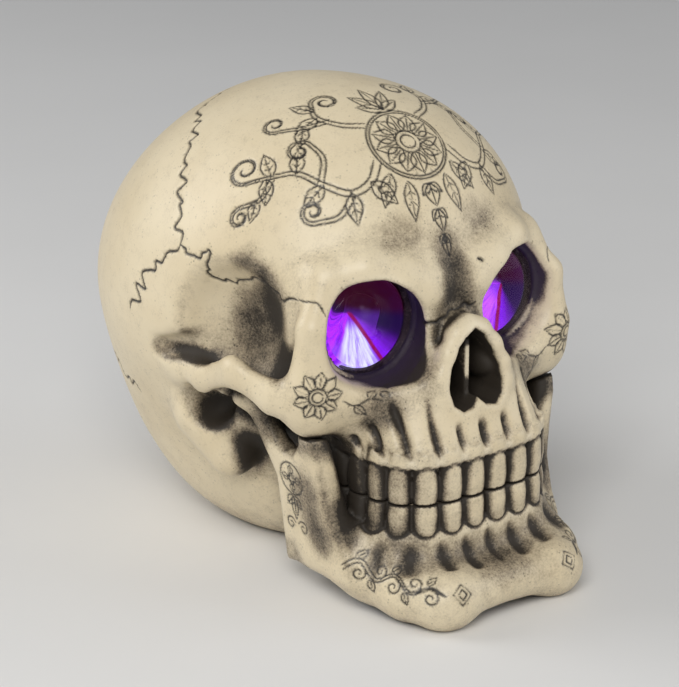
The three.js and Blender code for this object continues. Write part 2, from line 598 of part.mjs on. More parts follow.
function doorScrew() {
  const head = PLATE_LOW + 0.1;
  let body = turned([[0, 0], [1.6, 0], [2.1, 0.4], [2.1, 0.8], [1.2, 0.8], [1.2, 4.2], [0.7, 4.7], [0, 4.7]],
    [ROOM_X, BOSS_Y, head], UP, 12);
  body = body.subtract(box(ROOM_X - 1.3, ROOM_X + 1.3, BOSS_Y - 0.25, BOSS_Y + 0.25, head - 1, head + 0.5));
  return body.subtract(box(ROOM_X - 0.25, ROOM_X + 0.25, BOSS_Y - 1.3, BOSS_Y + 1.3, head - 1, head + 0.5));
}

const SPRING_Y = ROOM_START + GAP + CONTACT + GAP;

class ConeSpring extends THREE.Curve {
  getPoint(t, target = new THREE.Vector3()) {
    const turns = 3;
    const turn = t * turns * Math.PI * 2;
    const radius = 4.2 - 1.9 * t;
    const y = SPRING_Y + 0.3 + t * (SPRING_LENGTH - 0.6);
    return target.set(ROOM_X + radius * Math.cos(turn), y, CELL_Z + radius * Math.sin(turn));
  }
}

function contactSpring() {
  const curve = new ConeSpring();
  const steps = 24;
  let least = Infinity;
  const points = curve.getPoints(steps * 2);
  for (let i = 0; i < points.length; i++)
    for (let j = i + 10; j < points.length; j++) least = Math.min(least, points[i].distanceTo(points[j]));
  console.log(`contact spring: least gap between its turns ${(least - 0.6).toFixed(2)} mm`);
  return tube(curve, 0.3, 5, steps);
}

function contactPlate(y) {
  const half = ROOM_WIDTH / 2 - 1.4;
  const plate = box(ROOM_X - half, ROOM_X + half, y, y + CONTACT, CELL_Z - 4.6, ROOF_LOW - GAP);
  return plate.add(box(ROOM_X - 1, ROOM_X + 1, y - 0.12, y + CONTACT + 0.12, CELL_Z + 2, CELL_Z + 4));
}

function cell(i) {
  const r = CELL_DIAMETER / 2;
  const y = SPRING_Y + SPRING_LENGTH + GAP + i * (CELL_HEIGHT + GAP);
  const profile = [[0, 0], [r - 1.6, 0], [r - 1.2, 0.35], [r - 0.7, 0.35], [r, 1], [r, CELL_HEIGHT - 0.4],
    [r - 0.4, CELL_HEIGHT], [0, CELL_HEIGHT]];
  return turned(profile, [ROOM_X, y, CELL_Z], BACK, 16);
}

function switchBody() {
  const low = PLATE_HIGH + GAP;
  let body = box(SWITCH_X - 3.3, SWITCH_X + 3.3, BOX_Y - 6.2, BOX_Y + 6.2, low, low + 5.4);
  body = body.subtract(box(SWITCH_X - 2.4, SWITCH_X + 2.4, BOX_Y - 5, BOX_Y + 5, low - 1, low + 2.2));
  for (const y of [-2.5, 0, 2.5])
    body = body.add(box(SWITCH_X - 0.4, SWITCH_X + 0.4, BOX_Y + y * 1.6 - 0.25, BOX_Y + y * 1.6 + 0.25, low + 5, low + 8));
  return body;
}

function switchSlider() {
  const low = PLATE_HIGH + GAP;
  const y = BOX_Y + SWITCH_TRAVEL / 2;
  let body = box(SWITCH_X - 2, SWITCH_X + 2, y - 2.6, y + 2.6, low + 0.3, low + 1.8);
  body = body.add(box(SWITCH_X - 1.2, SWITCH_X + 1.2, y - 1.5, y + 1.5, PLATE_LOW + 0.2, low + 0.5));
  for (const groove of [-0.75, 0, 0.75])
    body = body.subtract(box(SWITCH_X - 2, SWITCH_X + 2, y + groove - 0.15, y + groove + 0.15, PLATE_LOW - 1, PLATE_LOW + 0.5));
  return body;
}

// Wires run from the roof of the box, through the hollow, into the lamp holders.
function ledWire(side, wire) {
  const [hx, hy] = wireHole(side, wire);
  const end = [lampX(side) + wire.x, HOLDER_Y + 5, HOLDER_Z];
  const away = (wire.name === 'red' ? -1 : 1) * 3;
  const path = [
    [hx, hy, ROOF_LOW - 1.6],
    [hx, hy, ROOF_HIGH + 5],
    [hx * 0.9 + side * 6, hy + away * 0.4, ROOF_HIGH + 22],
    [lampX(side) * 0.8 + wire.x, 4 + away, HOLDER_Z - 14],
    [end[0], HOLDER_Y + HOLDER_LENGTH + 9, HOLDER_Z - 1.5],
    [end[0], HOLDER_Y + HOLDER_LENGTH + 2, HOLDER_Z],
    end,
  ].map((p) => new THREE.Vector3(...p));
  return tube(new THREE.CatmullRomCurve3(path, false, 'centripetal'), WIRE_DIAMETER / 2, 8, 15);
}

// Castings with their seats and openings.
function castings() {
  const { bone, vault } = sculptCranium();
  const widths = spaced([-77, -63, 7], [-63, -41, 4.4], [-41, -14, 6.7], [-14, 14, 4], [14, 41, 6.7], [41, 63, 4.4], [63, 77, 7]);
  const depths = spaced([-86, -74, 6], [-74, -38, 4], [-38, -12, 6.5], [-12, 116, 11.6]);
  const heights = spaced([-18, 30, 8], [30, 56, 5.2], [56, 104, 4.4], [104, 164, 10]);
  const face = [widths, depths, heights];
  let cranium = net(bone, ...face);
  const lampKeep = ball(LAMP, LAMP_SIZE.map((r) => r + WALL - 1));
  const inner = (x, y, z) => Math.max(bone(x, y, z) + WALL, vault(x, y, z) + WALL, -lampKeep(x, y, z));
  const hollow = net(inner, spaced([-80, 80, 10]), spaced([-74, 118, 10.7]), spaced([-20, 164, 10.2]));
  for (const tooth of crowns(1)) cranium = cranium.add(tooth);
  cranium = cranium.add(box(-0.9 * UNIT, 0.9 * UNIT, -62 * UNIT, -42 * UNIT, 59.5 * UNIT, 80.5 * UNIT));
  cranium = cranium.subtract(hollow);
  for (const side of [1, -1]) cranium = cranium.subtract(lensPocket(side));
  cranium = cranium.subtract(roundedPlate(BOX_WIDTH + 2 * GAP, BOX_LENGTH + 2 * GAP, 2, -1, ROOF_HIGH, BOX_Y));
  const rim = 2 * (FLANGE + GAP);
  cranium = cranium.subtract(roundedPlate(BOX_WIDTH + rim, BOX_LENGTH + rim, 3, -1, PLATE_HIGH + GAP, BOX_Y));
  const table = box(-200, 200, -200, 200, -60, 0);
  cranium = cranium.subtract(table);
  const jawBone = sculptJaw(bone);
  const jawGrid = [
    spaced([-66, -54, 6], [-54, -30, 3.9], [-30, 30, 6], [30, 54, 3.9], [54, 66, 6]),
    spaced([-106, -58, 4.8], [-58, -6, 4]),
    spaced([-12, 40, 4.6], [40, 76, 3.8]),
  ];
  let jaw = net(jawBone, ...jawGrid);
  for (const tooth of crowns(-1)) jaw = jaw.add(tooth);
  return { cranium, jaw: jaw.subtract(table) };
}

// The finished group.
const skull = new THREE.Group();

function paint(colour, roughness, metalness = 0, more = {}) {
  return new THREE.MeshStandardMaterial({ color: colour, roughness, metalness, ...more });
}

const FINISH = {
  bone: () => paint(0xd8c9a2, 0.5),
  gem: () => paint(0x5a1fd6, 0.08, 0, { transparent: true, opacity: 0.7 }),
  led: () => paint(0xd8d4ff, 0.15),
  black: () => paint(0x1d1d20, 0.5),
  red: () => paint(0xa81c1c, 0.45),
  steel: () => paint(0xb8bbc0, 0.3, 1),
  nickel: () => paint(0xc9ccd0, 0.25, 1),
  brass: () => paint(0xc6a04c, 0.35, 1),
  white: () => paint(0xe4e2da, 0.45),
};

function piece(name, body, finish) {
  const mesh = new THREE.Mesh(geometryOf(body).translate(0, -MIDDLE, 0), FINISH[finish]());
  mesh.name = name;
  skull.add(mesh);
}

const { cranium, jaw } = castings();
piece('cranium_casting', cranium, 'bone');
piece('jaw_casting', jaw, 'bone');
for (const [side, word] of [[-1, 'right'], [1, 'left']]) {
  piece(`${word}_eye_lens`, lens(side), 'gem');
  piece(`${word}_led`, led(side), 'led');
  piece(`${word}_led_holder`, ledHolder(side), 'black');
  for (const wire of WIRES) piece(`${word}_wire_${wire.name}`, ledWire(side, wire), wire.name);
}
piece('battery_box', batteryBox(), 'black');
piece('battery_door', batteryDoor(), 'black');
piece('door_screw', doorScrew(), 'steel');
for (let i = 0; i < CELL_COUNT; i++) piece(`battery_${i + 1}`, cell(i), 'nickel');
piece('contact_spring', contactSpring(), 'nickel');
piece('negative_contact', contactPlate(ROOM_START + GAP), 'brass');
piece('positive_contact', contactPlate(SPRING_Y + SPRING_LENGTH + GAP + STACK + GAP), 'brass');
piece('switch_body', switchBody(), 'black');
piece('switch_slider', switchSlider(), 'white');

export default skull;
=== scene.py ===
"""A resin table skull with lamp eyes: the looks of every piece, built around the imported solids."""
import logging
import math
from dataclasses import dataclass, field
from enum import Enum
from typing import Callable, ClassVar, Sequence

import bpy
import numpy as np
from mathutils import Matrix, Vector
from mathutils.kdtree import KDTree


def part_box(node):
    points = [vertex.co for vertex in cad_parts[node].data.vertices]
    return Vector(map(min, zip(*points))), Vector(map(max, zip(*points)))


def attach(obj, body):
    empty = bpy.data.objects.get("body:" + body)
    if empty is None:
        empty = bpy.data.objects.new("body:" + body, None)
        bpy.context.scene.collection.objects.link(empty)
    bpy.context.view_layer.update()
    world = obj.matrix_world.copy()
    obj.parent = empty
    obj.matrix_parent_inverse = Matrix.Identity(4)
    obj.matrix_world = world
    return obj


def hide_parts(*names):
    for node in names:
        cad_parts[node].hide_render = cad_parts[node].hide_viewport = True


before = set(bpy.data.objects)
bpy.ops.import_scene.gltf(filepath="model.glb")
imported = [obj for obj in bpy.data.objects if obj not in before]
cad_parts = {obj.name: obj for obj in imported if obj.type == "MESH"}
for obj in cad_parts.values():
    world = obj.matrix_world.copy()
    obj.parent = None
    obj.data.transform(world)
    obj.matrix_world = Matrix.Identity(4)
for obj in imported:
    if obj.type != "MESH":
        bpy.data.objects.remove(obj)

Array = np.ndarray
Form = Callable[[Array], Array]
Colour = tuple[float, float, float]
Point = tuple[float, float, float]
Bead = tuple[float, float, float, float]
Lump = tuple[Point, Point]
Span = tuple[float, float]
Line = Array
Path = Sequence[Sequence[float]]
Piece = bpy.types.Object
Material = bpy.types.Material

log = logging.getLogger("skull")

MM = 0.001
BODY = "skull"

# Shared sizes in millimetres: the wall of a casting, the play round a lens, and the frame's offset in y.
WALL = 7.0
GAP = 0.3
MIDDLE = 1.9


class Side(Enum):
    """The skull's own right and left, as the sign of x."""

    RIGHT = -1
    LEFT = 1


def placed(x: float, y: float, z: float) -> Vector:
    """A point of the sculpted forms in the frame, whose origin lies under the middle of the skull."""
    return Vector((x, y - MIDDLE, z)) * MM


# Sculpted forms: a form takes 3 rows of millimetres and gives a distance, negative inside.
def ball(p: Array, centre: Sequence[float], radii: Sequence[float]) -> Array:
    """An egg-shaped lump.

    Args:
        p: Points as 3 rows.
        centre: Its middle.
        radii: Its half sizes.

    Returns:
        Distance to its skin.
    """
    q = [(p[i] - centre[i]) / radii[i] for i in range(3)]
    far = np.sqrt(q[0] ** 2 + q[1] ** 2 + q[2] ** 2)
    steep = np.sqrt((q[0] / radii[0]) ** 2 + (q[1] / radii[1]) ** 2 + (q[2] / radii[2]) ** 2)
    return far * (far - 1.0) / np.maximum(steep, 1e-6)


def rod(p: Array, a: Sequence[float], b: Sequence[float], flat: float = 1.0) -> Array:
    """A tapered round bar between two (x, y, z, radius) ends.

    Args:
        p: Points as 3 rows.
        a: First end.
        b: Second end.
        flat: How much thinner it is across than up.

    Returns:
        Distance to its skin.
    """
    squeeze = np.array([flat, 1.0, 1.0])
    run = (np.array(b[:3]) - np.array(a[:3])) * squeeze
    q = [(p[i] - a[i]) * squeeze[i] for i in range(3)]
    along = np.clip((q[0] * run[0] + q[1] * run[1] + q[2] * run[2]) / (run @ run), 0.0, 1.0)
    far = np.sqrt(sum((q[i] - along * run[i]) ** 2 for i in range(3)))
    return (far - (a[3] + (b[3] - a[3]) * along)) / math.sqrt(flat)


def join(a: Array, b: Array, k: float) -> Array:
    """Two forms as one, with a fillet of size k."""
    h = np.maximum(k - np.abs(a - b), 0.0) / k
    return np.minimum(a, b) - h * h * k * 0.25


def cut(a: Array, b: Array, k: float) -> Array:
    """The first form with the second taken out."""
    return -join(-a, b, k)


def keep(a: Array, b: Array, k: float) -> Array:
    """What two forms share."""
    return -join(-a, -b, k)


def chain(p: Array, points: Path, k: float, flat: float = 1.0) -> Array:
    """A run of tapered bars.

    Args:
        p: Points as 3 rows.
        points: The (x, y, z, radius) beads that it runs through.
        k: Size of the fillet where two bars meet.
        flat: How much thinner it is across than up.

    Returns:
        Distance to its skin.
    """
    made = rod(p, points[0], points[1], flat)
    for a, b in zip(points[1:-1], points[2:]):
        made = join(made, rod(p, a, b, flat), k)
    return made


def outline(points: Path, u: Array, v: Array) -> Array:
    """A closed outline in a plane.

    Args:
        points: Its corners.
        u: Where some points lie along the first axis.
        v: Where they lie along the second.

    Returns:
        Distance to the outline, negative inside.
    """
    least = np.full_like(u, np.inf)
    sign = np.ones_like(u)
    for (ax, ay), (bx, by) in zip(points, [*points[1:], points[0]]):
        ex, ey = bx - ax, by - ay
        wx, wy = u - ax, v - ay
        along = np.clip((wx * ex + wy * ey) / (ex * ex + ey * ey), 0.0, 1.0)
        least = np.minimum(least, (wx - ex * along) ** 2 + (wy - ey * along) ** 2)
        above, below, left = v >= ay, v < by, ex * wy > ey * wx
        sign = np.where((above & below & left) | (~above & ~below & ~left), -sign, sign)
    return sign * np.sqrt(least)


def ease(value: Array, low: float, high: float) -> Array:
    """A soft step from 0 at low to 1 at high."""
    t = np.clip((value - low) / (high - low), 0.0, 1.0)
    return t * t * (3.0 - 2.0 * t)


def slope(form: Form, p: Array, step: float = 0.05) -> Array:
    """The gradient of a form, by differences.

    Args:
        form: The form.
        p: Points as 3 rows.
        step: Half the distance between the two sides of a difference.

    Returns:
        The gradient at each point, as 3 rows.
    """
    out = np.empty_like(p)
    for axis in range(3):
        move = np.zeros((3, 1))
        move[axis] = step
        out[axis] = (form(p + move) - form(p - move)) / (2.0 * step)
    return out


def outward(form: Form, p: Array) -> Array:
    """Unit normals of a form at some points."""
    g = slope(form, p)
    return g / np.maximum(np.linalg.norm(g, axis=0), 1e-6)


@dataclass(frozen=True)
class Roots:
    """How the hollows between one row's roots run: their sizes, and how dark and how far out they are."""

    slim: float
    start: float
    length: float
    wide: float
    lean: float
    splay: float
    dark: float
    reach: float


@dataclass
class ToothRow:
    """The square-fronted arch that both rows of teeth stand on."""

    width: float = 29.3
    front: float = -69.2
    back: float = -30.0
    power: float = 4.2
    bite: float = 35.0
    parting: float = 0.18
    upper_crown: float = 11.5
    lower_crown: float = 9.5
    root: float = 5.0
    lean: float = 0.42
    crowns: tuple[float, ...] = (8.4, 8.0, 7.4, 7.0, 7.0, 8.0, 8.0)
    flutes: tuple[float, ...] = (0.72, 1.0, 0.9, 1.08, 0.94, 0.86, 0.7)
    upper_roots: Roots = Roots(0.013, 2.4, 20.0, 2.3, 0.05, 0.011, 0.95, 8.0)
    lower_roots: Roots = Roots(0.0, 1.4, 14.5, 3.0, 0.0, 0.0, 0.5, 12.0)
    root_field: float = 22.0
    sill_wide: Span = (9.0, 14.0)
    sill_high: Span = (20.5, 24.0)
    side_fade: Span = (-60.0, -50.0)
    front_skin: Span = (0.8, 2.6)
    root_skin: Span = (-7.0, -3.0)
    width_shares: tuple[float, ...] = (0.0, 0.2, 0.55, 0.9, 1.5)
    widths: tuple[float, ...] = (0.93, 1.0, 0.98, 0.85, 0.6)
    thick_shares: tuple[float, ...] = (0.0, 0.35, 1.0)
    thicks: tuple[float, ...] = (2.75, 3.4, 3.3)
    crown_power: float = 2.5
    crown_out: float = 0.35
    backing_at: float = -1.0
    backing_half: float = 1.6
    backing_lap: float = 0.12
    gum_power: float = 3.4
    gum_end: float = -33.0
    draw_from: float = 47.0
    draw_limit: float = 30.0

    def __post_init__(self) -> None:
        """Walks the arch once, from the middle of the bite to its end."""
        turn = np.linspace(0.0, math.pi / 2, 700)
        reach = (np.sin(turn) ** self.power + np.cos(turn) ** self.power) ** (-1.0 / self.power)
        self.turn = turn
        self.x = self.width * reach * np.sin(turn)
        self.y = self.back - (self.back - self.front) * reach * np.cos(turn)
        steps = np.hypot(np.diff(self.x), np.diff(self.y))
        self.s = np.concatenate([[0.0], np.cumsum(steps)])
        self.tx = np.gradient(self.x, self.s)
        self.ty = np.gradient(self.y, self.s)
        self.edges = np.concatenate([[0.0], np.cumsum(self.crowns)])

    def distance(self, x: Array, y: Array) -> Array:
        """How far points stand off the arch.

        Args:
            x: Distance from the middle plane.
            y: Depth in the skull's frame.

        Returns:
            Distance across the arch, positive outside it.
        """
        depth = self.back - self.front
        u, v = x / self.width, np.maximum(self.back - y, 0.0) / depth
        far = np.maximum((u**self.power + v**self.power) ** (1.0 / self.power), 1e-6)
        lift = self.power - 1.0
        steep = np.hypot((u / far) ** lift / self.width, (v / far) ** lift / depth)
        return (far - 1.0) / np.maximum(steep, 1e-6)

    def local(self, x: Array, y: Array) -> tuple[Array, Array]:
        """Where points lie on the arch.

        Args:
            x: Distance from the middle plane.
            y: Depth in the skull's frame.

        Returns:
            Length along the arch, and distance out from it.
        """
        v = np.maximum(self.back - y, 0.0) / (self.back - self.front)
        s = np.interp(np.arctan2(x / self.width, v), self.turn, self.s)
        rounds, longest = 3, 3.0
        for turn in range(rounds + 1):
            ax, ay, tx, ty = (np.interp(s, self.s, row) for row in (self.x, self.y, self.tx, self.ty))
            if turn < rounds:
                move = np.clip((x - ax) * tx + (y - ay) * ty, -longest, longest)
                s = np.clip(s + move, 0.0, self.s[-1])
        return s, (x - ax) * ty - (y - ay) * tx

    def tooth(self, s: Array) -> tuple[Array, Array]:
        """Which tooth stands where.

        Args:
            s: Lengths along the arch.

        Returns:
            Offset from the middle of the tooth there, and that tooth's half width.
        """
        index = np.clip(np.searchsorted(self.edges, s, side="right") - 1, 0, len(self.crowns) - 1)
        half = np.array(self.crowns)[index] / 2.0
        return s - (self.edges[index] + half), half

    def near(self, p: Array) -> Array:
        """Which points are close enough to the teeth to matter."""
        level = (np.abs(p[2] - self.bite) < 24.0) & (p[1] < self.back + 3.0)
        return level & (np.abs(self.distance(p[0], p[1])) < 9.0)

    def crown(self, p: Array, sign: int) -> Array:
        """The crowns of one row.

        Args:
            p: Points as 3 rows, folded onto one half.
            sign: 1 for the upper row, -1 for the lower.

        Returns:
            Distance to the crowns.
        """
        made = np.full(p.shape[1:], 9.0)
        near = self.near(p)
        x, y, z = (row[near] for row in p)
        s, d = self.local(x, y)
        u, half = self.tooth(s)
        tall = self.upper_crown if sign > 0 else self.lower_crown
        up = (z - self.bite) * sign - self.parting
        share = up / tall
        wide = half * np.interp(share, self.width_shares, self.widths)
        thick = np.interp(share, self.thick_shares, self.thicks)
        power = self.crown_power
        far = ((np.abs(u) / wide) ** power + (np.abs(d - self.crown_out) / thick) ** power) ** (1.0 / power)
        tooth = (far - 1.0) * np.minimum(wide, thick)
        tooth = keep(tooth, -up, 0.6)
        tooth = keep(tooth, up - tall - self.root, 1.0)
        ends = np.maximum(-self.backing_lap - up, up - tall)
        backing = np.maximum(np.abs(d - self.backing_at) - self.backing_half, ends)
        made[near] = np.minimum(tooth, backing)
        return made

    def drawn(self, p: Array, slim: float) -> tuple[Array, Array]:
        """Points moved out to the arch, which draws in and leans back above the upper crowns."""
        up = np.clip(p[2] - self.draw_from, 0.0, self.draw_limit)
        return p[0] / (1.0 - slim * up), p[1] - (self.lean * up if slim else 0.0)

    def relief(self, p: Array, sign: int, deep: float) -> tuple[Array, Array]:
        """Hollows between the roots, and the grooves round each crown.

        Args:
            p: Points as 3 rows, folded onto one half.
            sign: 1 for the upper row, -1 for the lower.
            deep: Depth of a hollow.

        Returns:
            How far each point is pushed in, and how dark it is.
        """
        push, shade = np.zeros(p.shape[1]), np.zeros(p.shape[1])
        upper = sign > 0
        tall = self.upper_crown if upper else self.lower_crown
        roots = self.upper_roots if upper else self.lower_roots
        rise = (p[2] - self.bite) * sign
        near = (p[1] < -36.0) & (rise > 0.0) & (rise < tall + self.root_field)
        x, y, up = p[0][near], p[1][near], rise[near]
        s, d = self.local(*self.drawn(p[:, near], roots.slim))
        u, half = self.tooth(s)
        start = tall + roots.start
        inner = 1.0 - ease(d, roots.reach - 2.0, roots.reach)
        front = ease(d, *self.front_skin) * inner
        root = np.where(up > tall + 1.0, ease(d, *self.root_skin), ease(d, *self.front_skin)) * inner
        if upper:
            root *= 1.0 - (1.0 - ease(x, *self.sill_wide)) * ease(up, *self.sill_high)
        else:
            root *= 1.0 - ease(y, *self.side_fade)
        side = u / half
        margin = tall + 0.5 - 2.6 * side**2
        lip = np.abs(up - margin) / np.sqrt(1.0 + (5.2 * side / half) ** 2)
        groove = 1.0 - ease(lip, 0.1, 0.72)
        parting = (1.0 - ease(half - np.abs(u), 0.05, 0.44)) * (1.0 - ease(up, tall - 2.4, tall - 1.2))
        edge_shade = ease(np.abs(side), 0.35, 1.0) * (up < margin)
        hollow = np.zeros(len(x))
        for edge, share in zip(self.edges, self.flutes):
            along = np.clip((up - start) / (share * roots.length), 0.0, 1.0)
            bell = np.maximum(np.sin(math.pi * along**0.7), 0.0)
            line = edge + (roots.lean + roots.splay * edge) * (up - start)
            wide = roots.wide * bell**0.7 + 0.02
            hollow = np.maximum(hollow, (1.0 - ease(np.abs(s - line) / wide, 0.0, 1.0)) * bell**0.8)
        push[near] = deep * root * hollow + front * (0.5 * groove + 0.5 * parting)
        # Crowns: an even stain, with painted shade towards their rounded edges and towards the back teeth;
        # root hollows: wash with painted shade.
        stain_and_shade = (0.12 + 0.4 * edge_shade + 0.3 * ease(s, 14.0, 40.0)) * (up < margin)
        shade[near] = root * (roots.dark * hollow**1.3) + front * (0.6 * groove + 0.65 * parting + stain_and_shade)
        return push, shade

    def gum(self, p: Array, height: float, half: float, thick: float, slim: float, sign: int) -> Array:
        """A ridge of bone along the roots, scalloped round each tooth.

        Args:
            p: Points as 3 rows, folded onto one half.
            height: Middle of the ridge.
            half: Half its height.
            thick: Half its thickness.
            slim: How much it draws in per millimetre above the bite.
            sign: 1 for the upper row, -1 for the lower.

        Returns:
            Distance to the ridge.
        """
        z = p[2]
        drawn, y = self.drawn(p, slim)
        s, _ = self.local(drawn, y)
        u, wide = self.tooth(s)
        fade = np.clip(1.0 - np.abs(z - (height - sign * half)) / 7.0, 0.0, 1.0)
        rise = z - sign * 0.9 * np.cos(math.pi * u / wide) * fade
        power = self.gum_power
        far = (np.abs(self.distance(drawn, y)) / thick) ** power + (np.abs(rise - height) / half) ** power
        return keep((far ** (1.0 / power) - 1.0) * thick, p[1] - self.gum_end, 4.0)


@dataclass
class LampSeat:
    """The room that an eye's lens and lamp sit in."""

    spread: float = 23.4
    height: float = 85.2
    back: float = -42.5
    lens_width: float = 31.8
    lens_height: float = 30.6
    rim: float = 3.0
    dome: float = 4.2
    band: float = 1.2
    room: Point = (13.9, 13.0, 13.7)
    shift: float = 5.5
    holder_y: float = -33.1
    holder_z: float = 79.2
    led_radius: float = 4.0
    led_length: float = 11.0
    lean: Point = (0.0, -0.34, 0.94)
    bore_radius: float = 4.9
    bore_end: float = -8.0
    well_radius: float = 6.1
    well_drop: float = 4.3
    well_depth: float = 10.0
    # The painted beam of each eye: where it spreads from, its edges as angles, and the colour painted at its
    # heart.
    beams: ClassVar[dict[Side, Point]] = {
        Side.RIGHT: (-19.6, -31.0, 83.6),
        Side.LEFT: (37.0, -31.0, 81.4),
    }
    spreads: ClassVar[dict[Side, Span]] = {
        Side.RIGHT: (-0.26, 0.55),
        Side.LEFT: (-1.4, -0.15),
    }
    painted_beam_hearts: ClassVar[dict[Side, Colour]] = {Side.RIGHT: (0.6, 0.68, 0.86), Side.LEFT: (0.5, 0.1, 0.85)}

    def led_foot(self, side: Side) -> Vector:
        """Where one lamp's flange stands."""
        return Vector((side.value * self.spread + self.shift, self.holder_y + 0.5, self.holder_z - 0.4))

    def space(self, p: Array) -> Array:
        """Distance to both emptied rooms, negative inside them."""
        return np.minimum(self.room_space(p, Side.RIGHT), self.room_space(p, Side.LEFT))

    def room_space(self, p: Array, side: Side) -> Array:
        """One emptied room: the lens seat, the lamp's room, its well and its wire bore.

        Args:
            p: Points as 3 rows.
            side: Which eye it is.

        Returns:
            Distance to the room, negative inside it.
        """
        x, y, z = p[0] * side.value, p[1], p[2]
        wide, tall = self.lens_width / 2, self.lens_height / 2
        seat = np.hypot((x - self.spread) / (wide + GAP), (z - self.height) / (tall + GAP))
        ends = np.maximum(y - self.back - GAP, self.back - self.rim - 1.2 - y)
        seat = np.maximum((seat - 1.0) * self.lens_height / 2, ends)
        room = ball((x, y, z), (self.spread, self.back + 1.0, self.height), self.room)
        bore = np.hypot(p[0] - self.led_foot(side).x, z - self.holder_z) - self.bore_radius
        bore = np.maximum(bore, np.maximum(self.holder_y - 3.0 - y, y - self.bore_end))
        lean = np.array(self.lean) / np.linalg.norm(self.lean)
        foot = np.array(self.led_foot(side)) - lean * self.well_drop
        offset = [p[i] - foot[i] for i in range(3)]
        up = sum(offset[i] * lean[i] for i in range(3))
        away = np.sqrt(np.maximum(sum(o**2 for o in offset) - up**2, 0.0))
        well = np.maximum(away - self.well_radius, np.maximum(-up, up - self.well_depth))
        return np.minimum(np.minimum(seat, room), np.minimum(bore, well))


